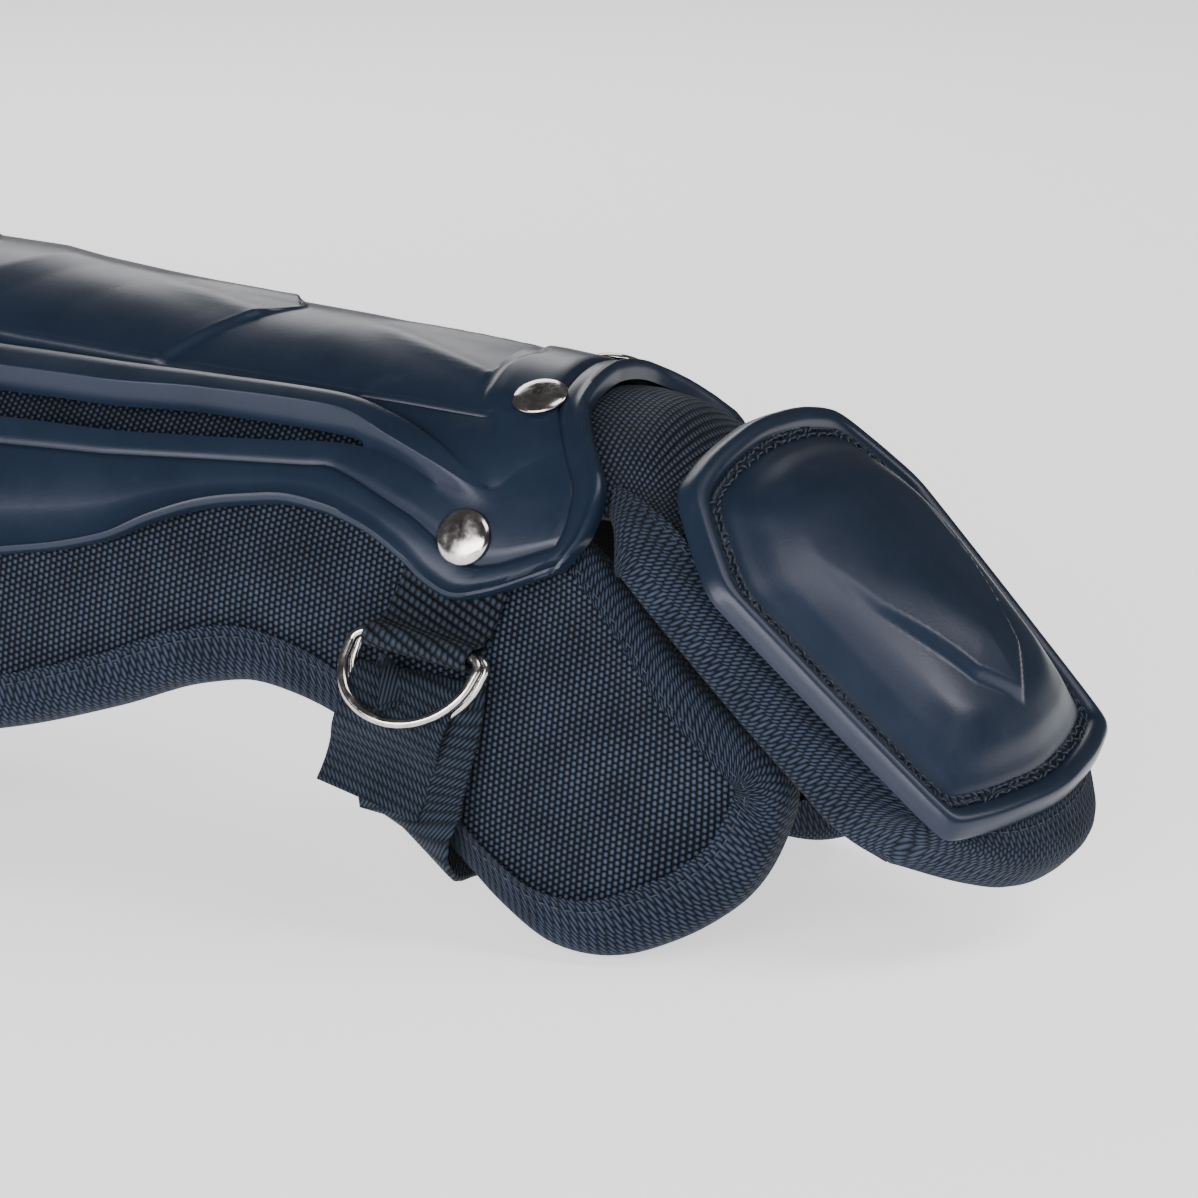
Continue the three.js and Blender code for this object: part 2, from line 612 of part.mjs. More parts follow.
// The knee cap rides over the knee end of the shell and comes down to the knee pad behind it
const kneeCapOver = 14;        // how far the cap rides over the shell
const kneeStep = 40;           // length over which it steps up to do so
const kneeCapReach = lobeReach * rimRows[0][1];
const kneeCapMiddle = -shinLength - kneeCapLength / 2 + kneeCapOver;
const kneeCapSeat = shellSeat + shellWall + beadHeight + gap * 2;
function onKnee(along, across, height) {
  const x = kneeCapMiddle + along;
  const seat = mix(shellSeat, kneeCapSeat, fade(-shinLength - kneeStep, -shinLength - 4, x));
  return onLeg(x, across, seat + height);
}

function kneeCap() {
  const top = [
    [0, shellWall - 0.5], [0.03, shellWall + beadHeight], [0.08, shellWall + beadHeight], [0.12, shellWall],
    [0.3, shellWall + kneeDome * 0.5], [0.5, shellWall + kneeDome * 0.82], [0.75, shellWall + kneeDome * 0.97],
    [1, shellWall + kneeDome],
  ];
  const under = [[0, 0], [0.13, 0], [0.33, kneeDome * 0.5], [0.6, kneeDome * 0.86], [1, kneeDome * 0.97]];
  const half = roundedHalf(kneeCapLength, kneeCapReach, kneeCapLength * 0.27);
  return mouldedPlate(bothSides(half), [0, 0], top, under, onKnee);
}

const thighPlateMiddle = kneeCapMiddle - kneeCapLength / 2 - thighPlateLength / 2 - 4;
function thighPlate() {
  const top = [
    [0, shellWall - 0.5], [0.04, shellWall + beadHeight], [0.1, shellWall + beadHeight], [0.15, shellWall],
    [0.4, shellWall + thighDome * 0.75], [0.7, shellWall + thighDome * 0.96], [1, shellWall + thighDome],
  ];
  const under = [[0, 0], [0.16, 0], [0.44, thighDome * 0.72], [1, thighDome * 0.95]];
  const half = roundedHalf(thighPlateLength, thighPlateReach, thighPlateLength * 0.3);
  const place = (along, across, height) => onLeg(thighPlateMiddle + along, across, shellSeat + height);
  return mouldedPlate(bothSides(half), [0, 0], top, under, place);
}

// A stop on a strap's route: its middle, and the way that its width runs
function strapStop(x, s, off) {
  return { point: onLeg(x, s, off), wide: onLeg(x + 5, s, off).sub(onLeg(x - 5, s, off)) };
}

// A strap through a route of stops
function strap(route, width) {
  const profiles = route.map(({ point, wide: along }, i) => {
    const before = route[Math.max(i - 1, 0)].point;
    const after = route[Math.min(i + 1, route.length - 1)].point;
    const tangent = after.clone().sub(before).normalize();
    const wide = along.clone();
    wide.addScaledVector(tangent, -wide.dot(tangent)).normalize();
    const thick = tangent.clone().cross(wide).normalize();
    const corner = (a, b) => point.clone().addScaledVector(wide, a * width / 2)
      .addScaledVector(thick, b * strapThickness / 2);
    return [corner(-1, 1), corner(1, 1), corner(1, -1), corner(-1, -1)];
  });
  return band(profiles);
}

// The way under the leg, from the near side's lower edge to the far side's
const strapMiddle = gap + strapThickness / 2;
const overBinding = tapeGap + tapeThickness + gap + strapThickness / 2;
const overSlant = 0.6;         // extra height of a strap that crosses a slanting edge
const underBow = 2.7;          // how far a strap bows under the leg
const liftRun = 5;             // way that a strap takes to lift over the binding
function underLeg(x, edge, run = new THREE.Vector3(1, 0, 0)) {
  const foot = onLeg(x, -edge, overBinding + (run.z === 0 ? 0 : overSlant));
  const low = foot.z - strapClear - strapThickness;
  const half = [
    [foot.y, foot.z], [foot.y * 1.005, mix(foot.z, low, 0.55)], [foot.y * 0.95, low],
    [foot.y * 0.8, low - underBow * 0.55], [foot.y * 0.4, low - underBow * 0.9],
  ];
  const wideAt = (y, k) => new THREE.Vector3(run.x, k < 2 ? Math.sign(y) * run.y : 0, run.z);
  const stop = (y, z, k) => ({ point: new THREE.Vector3(x, y, z), wide: wideAt(y, k) });
  const near = half.map(([y, z], k) => stop(y, z, k));
  const far = half.map(([y, z], k) => stop(-y, z, k)).reverse();
  return [...near, stop(0, low - underBow, half.length), ...far];
}

// Way round a side from a start under the shell down to where the strap lifts over the binding
function downSide(x, start, clear, side) {
  const steps = 4;
  const route = [];
  for (let k = 0; k <= steps; k += 1) route.push(strapStop(x, side * mix(start, clear, k / steps), strapMiddle));
  route.push(strapStop(x, side * (clear + liftRun), overBinding));
  return route;
}

function loopStrap(x, start, edge) {
  const clear = edge - tapeLap - liftRun - 1;
  const near = downSide(x, start, clear, -1);
  const far = downSide(x, start, clear, 1).reverse();
  return strap([...near, ...underLeg(x, edge), ...far], strapWidth);
}

// The ankle strap: a short tail, a fold through the rings, the way under the leg and up the far side
const tailReach = 16;          // tail past the rings' round ends
const foldReach = 9;           // the fold past the rings' bars
const foldLift = 0.4;
const ankleStrapX = ringAlong;
const wingEdge = padRows.slice(7, 11).map(([along, around]) => [-along * shinLength, around * wingReach]);
const wingEdgeAt = (x) => readLine(wingEdge, 1, -x);
const ankleStrapEdge = wingEdgeAt(ankleStrapX);
const edgeRun = onLeg(ankleStrapX + 5, wingEdgeAt(ankleStrapX + 5), 0)
  .sub(onLeg(ankleStrapX - 5, wingEdgeAt(ankleStrapX - 5), 0));
function ankleStrap() {
  const tailTop = overBinding + 2 * wireRadius + 2 * gap + strapThickness;
  const tailLow = overBinding + strapThickness + gap;
  const ringEnd = ringAround + ringInside / 2 + 2 * wireRadius + 2;
  const tailEnd = ringEnd + tailReach;
  const slide = (s) => ankleStrapX - (s - ringAround) * Math.tan(ringSlant);
  const tail = [
    [tailEnd, tailLow + 0.6], [tailEnd - 5, tailLow], [ringEnd + 6, tailLow + 0.6], [ringEnd + 1, tailTop],
    [ringEnd - 5, tailTop + 0.2], [ringAround + foldReach + 3, tailTop],
  ];
  const route = tail.map(([s, off]) => strapStop(slide(s), -s, off));
  const foldAround = ringAround + foldReach;
  const foldRadius = (tailTop - strapMiddle) / 2;
  const foldMiddle = (tailTop + strapMiddle) / 2;
  for (const angle of [60, 20, -20, -60]) {
    const turn = THREE.MathUtils.degToRad(angle);
    const s = foldAround - foldRadius * Math.cos(turn);
    route.push(strapStop(slide(s), -s, foldMiddle + foldRadius * Math.sin(turn)));
  }
  route.push(strapStop(slide(foldAround + 1), -(foldAround + 3.5), strapMiddle + foldLift));
  route.push(strapStop(ankleStrapX, -(ringEnd - 8), overBinding));
  route.push(...underLeg(ankleStrapX, ankleStrapEdge, edgeRun));
  route.push(...downSide(ankleStrapX, lobeReach * 0.82, ringEnd - 10, 1).reverse());
  return strap(route, strapWidth);
}

// A place in the rings' own slanted frame: across the webbing, along it from the bars, and above
const ringLean = 0.3;          // share of the slant by which the bars follow the way round
function onRing(across, along, off) {
  const x = ringAlong + across * Math.cos(ringSlant) - along * Math.sin(ringSlant);
  const s = ringAround + across * Math.sin(ringSlant) * ringLean + along * Math.cos(ringSlant);
  return onLeg(x, -s, off);
}

const ringLow = gap * 3 + strapThickness + wireRadius;
const ringHigh = ringLow + 2 * wireRadius + gap * 3;
const lowerLift = overBinding - strapMiddle;   // how far the lower ring's round end rides up
const upperLift = lowerLift + strapThickness + gap * 4;

// A D-shaped ring of round wire: a bar through the webbing and a round end toward the strap
function dRing(middle, lift) {
  const half = ringInside / 2 + wireRadius;
  const cornerRise = 1.6;
  const archRise = 4;
  const path = [[-half * 0.9, 0], [half * 0.9, 0], [half, cornerRise]];
  for (let k = 0; k <= 8; k += 1) {
    const angle = Math.PI * k / 8;
    path.push([half * Math.cos(angle), archRise + half * 0.9 * Math.sin(angle)]);
  }
  path.push([-half, cornerRise]);
  const reach = archRise + half * 0.9;
  const profiles = path.map((point, i) => {
    const before = path[(i + path.length - 1) % path.length];
    const after = path[(i + 1) % path.length];
    const run = new THREE.Vector2(after[0] - before[0], after[1] - before[1]).normalize();
    const profile = [];
    for (let k = 0; k < 6; k += 1) {
      const angle = Math.PI * 2 * k / 6;
      const out = wireRadius * Math.cos(angle);
      const up = wireRadius * Math.sin(angle);
      profile.push(onRing(point[0] + run.y * out, point[1] - run.x * out, middle + lift * point[1] / reach + up));
    }
    return profile;
  });
  return band(profiles, true);
}

// The webbing: two layers sewn together, parted round the rings' bars
function ringWebbing() {
  const layer = 1.05;
  const hole = wireRadius + gap * 1.5;
  const outside = hole + layer;
  const doubled = shellSeat - gap * 2;
  const tail = -(ringAround - lobeReach * 0.8);
  const shape = new THREE.Shape();
  shape.moveTo(tail, gap);
  shape.lineTo(0, gap);
  shape.lineTo(outside * 0.9, ringLow - outside * 0.2);
  shape.lineTo(outside, ringLow);
  shape.lineTo(outside, ringHigh);
  for (const angle of [40, 90, 135]) {
    const turn = THREE.MathUtils.degToRad(angle);
    shape.lineTo(outside * Math.cos(turn), ringHigh + outside * Math.sin(turn));
  }
  shape.lineTo(-outside * 1.5, ringLow);
  shape.lineTo(-(ringAround - lobeReach) + 1, doubled);
  shape.lineTo(tail, doubled);
  const slot = new THREE.Path();
  const turns = 8;
  for (let k = 0; k <= turns; k += 1) {
    const angle = Math.PI * 2 * k / turns + Math.PI / turns;
    const middle = Math.sin(angle) > 0 ? ringHigh : ringLow;
    const point = [hole * 1.09 * Math.cos(angle), middle + hole * 1.09 * Math.sin(angle)];
    if (k === 0) slot.moveTo(...point);
    else if (k < turns) slot.lineTo(...point);
  }
  shape.holes.push(slot);
  const geometry = new THREE.ExtrudeGeometry(shape, { depth: strapWidth, steps: 1, bevelEnabled: false });
  const position = geometry.attributes.position;
  for (let k = 0; k < position.count; k += 1) {
    const place = onRing(strapWidth / 2 - position.getZ(k), position.getX(k), position.getY(k));
    position.setXYZ(k, place.x, place.y, place.z);
  }
  return geometry;
}

// A round-headed rivet cap, flat at its very top, standing on the shell at a place round the leg
function rivetCap() {
  const profile = [[0, 0], [1, 0], [1, 0.3], [0.82, 0.72], [0.42, 1], [0, 1]];
  const points = profile.map(([across, up]) => new THREE.Vector2(across * rivetRadius, up * rivetHeight));
  const geometry = new THREE.LatheGeometry(points, 12);
  geometry.rotateX(Math.PI / 2);
  return geometry;
}

const guard = new THREE.Group();

function add(name, geometry, material) {
  const mesh = new THREE.Mesh(geometry, material);
  mesh.name = name;
  guard.add(mesh);
  return mesh;
}

function addRivet(name, x, s, height) {
  const rivet = add(name, rivetCap(), nickel);
  rivet.position.copy(onLeg(x, s, height + gap * 2));
  rivet.quaternion.setFromUnitVectors(new THREE.Vector3(0, 0, 1), surfaceNormal(x, s));
}

const shellFace = shellSeat + shellWall;
const rivets = [
  ['ankle_rivet_top', -4.4, 18.5, shellFace + 0.6],
  ['ankle_rivet_side', -10.7, 51.4, shellFace],
  ['calf_rivet', calfStrapAlong, 66, shellFace],
];

add('shin_shell', shinShell(), navyPlastic);
add('shin_pad', wall(padOuter, padInner), navyFabric);
add('shin_pad_binding_near', shinPadBinding(-1), navyTape);
add('shin_pad_binding_far', shinPadBinding(1), navyTape);
add('toe_pad', wall(flapOuter, flapInner), navyFabric);
add('toe_pad_binding', toePadBinding(), navyTape);
add('toe_plate', toePlate(), navyPlastic);
add('knee_cap', kneeCap(), navyPlastic);
add('thigh_plate', thighPlate(), navyPlastic);
add('knee_pad', wall(kneeOuter, kneeInner), navyFabric);
add('knee_pad_binding', kneePadBinding(), navyTape);
add('ring_webbing', ringWebbing(), navyWebbing);
add('d_ring_lower', dRing(ringLow, lowerLift), nickel);
add('d_ring_upper', dRing(ringHigh, upperLift), nickel);
add('ankle_strap', ankleStrap(), navyWebbing);
add('calf_strap', loopStrap(calfStrapAlong, lobeReach * 1.12, wingReach * 0.9), navyWebbing);
add('thigh_strap', loopStrap(thighStrapAlong, thighPlateReach * 0.85, kneeWing * 0.69), navyWebbing);
for (const [name, x, s, height] of rivets) {
  addRivet(`${name}_near`, x, -s, height);
  addRivet(`${name}_far`, x, s, height);
}

// Stand the guard on the ground with its middle over the origin
const bounds = new THREE.Box3().setFromObject(guard);
const middle = bounds.getCenter(new THREE.Vector3());
guard.position.set(-middle.x, -middle.y, -bounds.min.z);

export default guard;
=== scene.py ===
import math

import bmesh
import bpy
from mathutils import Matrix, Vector


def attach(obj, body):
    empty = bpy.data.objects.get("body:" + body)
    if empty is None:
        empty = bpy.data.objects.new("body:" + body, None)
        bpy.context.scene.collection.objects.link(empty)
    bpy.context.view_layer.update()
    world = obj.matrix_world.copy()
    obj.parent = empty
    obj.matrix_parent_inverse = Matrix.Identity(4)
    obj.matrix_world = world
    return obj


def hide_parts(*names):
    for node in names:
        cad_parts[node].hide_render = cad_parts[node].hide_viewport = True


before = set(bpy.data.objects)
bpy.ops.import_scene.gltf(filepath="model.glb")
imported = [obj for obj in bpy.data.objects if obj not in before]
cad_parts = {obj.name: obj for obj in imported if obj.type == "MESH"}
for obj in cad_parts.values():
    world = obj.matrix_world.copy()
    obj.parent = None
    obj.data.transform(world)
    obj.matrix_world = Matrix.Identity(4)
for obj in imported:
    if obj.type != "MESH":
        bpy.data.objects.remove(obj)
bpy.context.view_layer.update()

# Catcher's leg guard. Places are in mm: x along the leg from the arch, s the way round the leg from
# the crown, off the height over the liner. Meshes are turned into metres in the row frame by toFrame.
leg = {
    "shinLength": 296, "thighReach": 515, "wingForward": 60.3, "neckBack": 2,
    "ankleRadius": 43, "ankleCrown": 107, "wingReach": 131.8,
    "shift": (202.421162, 0.0, 3.668093),
}
sectionRows = [
    (-1.757, 1.35, 0.879, 75), (-1.52, 1.44, 0.972, 75), (-1.216, 1.465, 1.055, 75), (-1, 1.42, 1.1, 75),
    (-0.676, 1.33, 1.108, 75), (-0.405, 1.186, 1.07, 75), (0, 1, 1, 75), (0.091, 1, 0.99, 76),
    (0.24, 0.953, 0.972, 92), (0.3, 0.94, 0.965, 94),
]


def mix(a, b, t):
    return a + (b - a) * t


def fade(start, end, at):
    t = min(max((at - start) / (end - start), 0), 1)
    return t * t * (3 - 2 * t)


def readTable(rows, column, at):    # smooth curve through a table's rows
    last = len(rows) - 1
    if at <= rows[0][0]:
        return rows[0][column]
    if at >= rows[last][0]:
        return rows[last][column]
    k = 0
    while rows[k + 1][0] < at:
        k += 1
    step = rows[k + 1][0] - rows[k][0]
    low, high = rows[k][column], rows[k + 1][column]

    def slopeAt(m):
        if m == 0 or m == last:
            return (high - low) / step
        before = (rows[m][column] - rows[m - 1][column]) / (rows[m][0] - rows[m - 1][0])
        after = (rows[m + 1][column] - rows[m][column]) / (rows[m + 1][0] - rows[m][0])
        return 0 if before * after <= 0 else 2 * before * after / (before + after)

    t = (at - rows[k][0]) / step
    return ((2 * t**3 - 3 * t**2 + 1) * low + (t**3 - 2 * t**2 + t) * step * slopeAt(k)
            + (3 * t**2 - 2 * t**3) * high + (t**3 - t**2) * step * slopeAt(k + 1))


def readLine(rows, column, at):     # straight lines between a table's rows
    if at <= rows[0][0]:
        return rows[0][column]
    for before, after in zip(rows, rows[1:]):
        if at <= after[0]:
            return mix(before[column], after[column], (at - before[0]) / (after[0] - before[0]))
    return rows[-1][column]


sectionSeen = {}


def sectionAt(x):
    key = round(x, 2)
    if key not in sectionSeen:
        along = key / leg["shinLength"]
        sectionSeen[key] = (
            leg["ankleRadius"] * readTable(sectionRows, 1, along),
            leg["ankleCrown"] * readTable(sectionRows, 2, along),
            math.radians(readTable(sectionRows, 3, along)),
        )
    return sectionSeen[key]


def onLeg(x, s, off):
    radius, crown, turn = sectionAt(x)
    angle = min(abs(s) / radius, turn)
    straight = max(abs(s) - radius * turn, 0)
    y = (radius + off) * math.sin(angle) + straight * math.cos(turn)
    z = crown - radius + (radius + off) * math.cos(angle) - straight * math.sin(turn)
    return Vector((x, math.copysign(y, s), z))


def upAt(x, s):
    return (onLeg(x, s, 1) - onLeg(x, s, 0)).normalized()


def toFrame(point):
    return (Vector(point) + Vector(leg["shift"])) * 0.001


def refineRow(points, steps, closed=False):     # more points on a smooth line through the given ones
    count = len(points)
    spans = count if closed else count - 1
    place = [Vector(point[:3]) for point in points]
    size = [max((place[(k + 1) % count] - place[k]).length, 1e-5) for k in range(spans)]

    def slopeAt(k):
        if not closed and k == 0:
            return [(b - a) / size[0] for a, b in zip(points[0], points[1])]
        if not closed and k == count - 1:
            return [(b - a) / size[-1] for a, b in zip(points[-2], points[-1])]
        before, after = size[(k - 1) % spans], size[k % spans]
        share = after / (before + after)
        return [
            (b - a) / before * share + (c - b) / after * (1 - share)
            for a, b, c in zip(points[(k - 1) % count], points[k % count], points[(k + 1) % count])
        ]

    out = []
    for k in range(spans):
        low, high = points[k], points[(k + 1) % count]
        m0, m1 = slopeAt(k), slopeAt((k + 1) % count if closed else k + 1)
        for step in range(steps[k]):
            t = step / steps[k]
            a, b = 2 * t**3 - 3 * t**2 + 1, (t**3 - 2 * t**2 + t) * size[k]
            c, d = 3 * t**2 - 2 * t**3, (t**3 - t**2) * size[k]
            out.append(tuple(a * p + b * u + c * q + d * v for p, u, q, v in zip(low, m0, high, m1)))
    if not closed:
        out.append(tuple(points[-1]))
    return out


def stepsBetween(stops, span):      # how many fine steps each stretch between two stops gets
    lengths = [(Vector(a[:3]) - Vector(b[:3])).length for a, b in zip(stops, stops[1:])]
    return [max(1, round(length / span)) for length in lengths]


def refineGrid(grid, alongSteps, acrossSteps):
    rows = [refineRow(row, acrossSteps) for row in grid]
    columns = [refineRow([row[j] for row in rows], alongSteps) for j in range(len(rows[0]))]
    return [[column[i] for column in columns] for i in range(len(columns[0]))]


def makePiece(name, points, faces, materials, uvs=None, faceMaterial=None, sharp=None):
    mesh = bpy.data.meshes.new(name)
    mesh.from_pydata([toFrame(p) for p in points], [], faces)
    if uvs:
        layer = mesh.uv_layers.new(name="surface")
        flat = [value for loop in mesh.loops for value in uvs[loop.vertex_index]]
        layer.data.foreach_set("uv", flat)
    for material in materials:
        mesh.materials.append(material)
    if faceMaterial:
        for polygon in mesh.polygons:
            polygon.material_index = faceMaterial(polygon)
    work = bmesh.new()
    work.from_mesh(mesh)
    loose = [v for v in work.verts if not v.link_faces]
    bmesh.ops.delete(work, geom=loose, context="VERTS")
    bmesh.ops.recalc_face_normals(work, faces=work.faces)
    work.to_mesh(mesh)
    work.free()
    mesh.shade_smooth()
    if sharp:
        mesh.set_sharp_from_angle(angle=math.radians(sharp))
    piece = bpy.data.objects.new(name, mesh)
    bpy.context.scene.collection.objects.link(piece)
    return piece


def wallFaces(rows, across, keep=None):
    under = rows * across
    faces = []

    def kept(i, j):
        return 0 <= i < rows - 1 and 0 <= j < across - 1 and (keep is None or keep(i, j))

    for i in range(rows - 1):
        for j in range(across - 1):
            if not kept(i, j):
                continue
            a, b = i * across + j, (i + 1) * across + j
            c, d = b + 1, a + 1
            faces.append((a, b, c, d))
            faces.append((a + under, d + under, c + under, b + under))
            sides = [((i, j - 1), b, a), ((i + 1, j), c, b), ((i, j + 1), d, c), ((i - 1, j), a, d)]
            for side, p, q in sides:
                if not kept(*side):
                    faces.append((p, q, q + under, p + under))
    return faces


def bandFaces(stations, size, closed=False):
    faces = []
    for i in range(stations if closed else stations - 1):
        here, there = i * size, ((i + 1) % stations) * size
        for k in range(size):
            n = (k + 1) % size
            faces.append((here + k, there + k, there + n, here + n))
    if not closed:
        end = (stations - 1) * size
        faces.append(tuple(range(size)))
        faces.append(tuple(end + size - 1 - k for k in range(size)))
    return faces


def ready(piece, slotName, *nodes):
    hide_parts(*nodes)
    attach(piece, "root")
    print("made", piece.name, len(piece.data.polygons), "faces")
    return piece


# Materials

def nodesOf(tree):
    def add(kind, values=None, **settings):
        node = tree.nodes.new(kind)
        for key, value in settings.items():
            setattr(node, key, value)
        for key, value in (values or {}).items():       # a socket is joined, anything else is set
            if isinstance(value, bpy.types.NodeSocket):
                tree.links.new(value, node.inputs[key])
            else:
                node.inputs[key].default_value = value
        return node

    def join(source, target):
        tree.links.new(source, target)

    return add, join


def makeGroup(name, inputs, outputs):
    tree = bpy.data.node_groups.new(name, "ShaderNodeTree")
    kinds = {"f": "NodeSocketFloat", "c": "NodeSocketColor", "v": "NodeSocketVector"}
    for title, kind, value in inputs:
        socket = tree.interface.new_socket(title, in_out="INPUT", socket_type=kinds[kind])
        if value is not None:
            socket.default_value = value
    for title, kind in outputs:
        tree.interface.new_socket(title, in_out="OUTPUT", socket_type=kinds[kind])
    add, join = nodesOf(tree)
    return tree, add, join, add("NodeGroupInput"), add("NodeGroupOutput")


def weaveGroup():       # rows of yarn bumps in brick order, with a slant for twills
    tree, add, join, given, made = makeGroup(
        "yarnWeave",
        [("Surface", "v", None), ("Pitch mm", "f", 1.5), ("Length ratio", "f", 1.0), ("Slant", "f", 0.0),
         ("Fuzz", "f", 0.15)],
        [("Height", "f"), ("Crest light and tone", "f")],
    )
    split = add("ShaderNodeSeparateXYZ", {0: given.outputs["Surface"]})
    perMm = add("ShaderNodeMath", {0: 1000.0, 1: given.outputs["Pitch mm"]}, operation="DIVIDE")

    def calc(operation, a, b=None):
        inputs = {0: a} if b is None else {0: a, 1: b}
        return add("ShaderNodeMath", inputs, operation=operation).outputs[0]

    acrossYarn = calc("MULTIPLY", split.outputs[0], perMm.outputs[0])
    alongYarn = calc("MULTIPLY", split.outputs[1], perMm.outputs[0])
    acrossYarn = calc("ADD", acrossYarn, calc("MULTIPLY", alongYarn, given.outputs["Slant"]))
    offset = calc("MULTIPLY", calc("FLOOR", acrossYarn), 0.5)
    alongYarn = calc("ADD", calc("DIVIDE", alongYarn, given.outputs["Length ratio"]), offset)
    ridge = calc("ABSOLUTE", calc("SINE", calc("MULTIPLY", acrossYarn, math.pi)))
    knot = calc("ABSOLUTE", calc("SINE", calc("MULTIPLY", alongYarn, math.pi)))
    knot = calc("ADD", calc("MULTIPLY", calc("POWER", knot, 0.7), 0.75), 0.25)
    bump = calc("MULTIPLY", calc("POWER", ridge, 0.6), knot)
    surface = {"Vector": given.outputs["Surface"]}
    grain = add("ShaderNodeTexNoise", {"Scale": 2600.0, "Detail": 2.0, "Roughness": 0.6, **surface})
    patch = add("ShaderNodeTexNoise", {"Scale": 90.0, "Detail": 3.0, "Roughness": 0.6, **surface})
    fuzz = calc("MULTIPLY", calc("SUBTRACT", grain.outputs["Fac"], 0.5), given.outputs["Fuzz"])
    join(calc("ADD", bump, calc("MULTIPLY", fuzz, 2.0)), made.inputs["Height"])
    # the yarn crests are painted lighter and the gaps between them darker: painted highlight and painted
    # shade, with random tone from the patch noise and fuzz
    crestLightAndTone = calc("ADD", calc("MULTIPLY", bump, 0.75), calc("MULTIPLY", patch.outputs["Fac"], 0.3))
    join(calc("ADD", crestLightAndTone, calc("MULTIPLY", fuzz, 1.5)), made.inputs["Crest light and tone"])
    return tree


def grainGroup():       # fine moulded grain, cloudy sheen and a few rubbed patches
    tree, add, join, given, made = makeGroup(
        "mouldedGrain",
        [("Surface", "v", None), ("Grain", "f", 1.0), ("Rub", "f", 0.3)],
        [("Height", "f"), ("Sheen", "f"), ("Rubbed", "f")],
    )
    surface = {"Vector": given.outputs["Surface"]}
    fine = add("ShaderNodeTexNoise", {"Scale": 1500.0, "Detail": 2.0, "Roughness": 0.6, **surface})
    cloud = add("ShaderNodeTexNoise", {"Scale": 35.0, "Detail": 4.0, "Roughness": 0.65, **surface})
    streak = {"Scale": 120.0, "Detail": 5.0, "Roughness": 0.7, "Distortion": 0.6}
    streaks = add("ShaderNodeTexNoise", {**streak, **surface})
    height = add("ShaderNodeMath", {0: fine.outputs["Fac"], 1: given.outputs["Grain"]}, operation="MULTIPLY")
    worn = add("ShaderNodeMapRange", {"Value": streaks.outputs["Fac"], "From Min": 0.58, "From Max": 0.75})
    rub = add("ShaderNodeMath", {0: worn.outputs["Result"], 1: given.outputs["Rub"]}, operation="MULTIPLY")
    join(height.outputs[0], made.inputs["Height"])
    join(cloud.outputs["Fac"], made.inputs["Sheen"])
    join(rub.outputs[0], made.inputs["Rubbed"])
    return tree


yarnWeave = weaveGroup()
mouldedGrain = grainGroup()


def startMaterial(name):
    material = bpy.data.materials.new(name)
    material.use_nodes = True
    tree = material.node_tree
    tree.nodes.clear()
    add, join = nodesOf(tree)
    shader = add("ShaderNodeBsdfPrincipled")
    out = add("ShaderNodeOutputMaterial")
    join(shader.outputs[0], out.inputs[0])
    return material, add, join, shader


def rampColour(add, value, dark, light, low=0.0, high=1.0):
    ramp = add("ShaderNodeMapRange", {"Value": value, "From Min": low, "From Max": high})
    ends = {6: (*dark, 1), 7: (*light, 1)}
    return add("ShaderNodeMix", {0: ramp.outputs["Result"], **ends}, data_type="RGBA").outputs[2]


def clothMaterial(name, look):
    material, add, join, shader = startMaterial(name)
    where = add("ShaderNodeUVMap", uv_map="surface")
    pattern = {key: look[key] for key in ("Pitch mm", "Length ratio", "Slant", "Fuzz")}
    weave = add("ShaderNodeGroup", node_tree=yarnWeave)
    for key, value in pattern.items():
        weave.inputs[key].default_value = value
    join(where.outputs[0], weave.inputs["Surface"])
    # the dark colour is painted shade in the weave's gaps, the light colour a painted highlight on the yarn
    # crests
    colour = rampColour(add, weave.outputs["Crest light and tone"], look["dark"], look["light"], look["from"], 1.0)
    join(colour, shader.inputs["Base Color"])
    height = {"Height": weave.outputs["Height"]}
    bump = add("ShaderNodeBump", {"Strength": look["bump"], "Distance": look["depth mm"] * 0.001, **height})
    join(bump.outputs[0], shader.inputs["Normal"])
    shader.inputs["Roughness"].default_value = look["roughness"]
    shader.inputs["Sheen Weight"].default_value = look["sheen"]
    shader.inputs["Sheen Roughness"].default_value = 0.4
    shader.inputs["Specular IOR Level"].default_value = look["specular"]
    return material


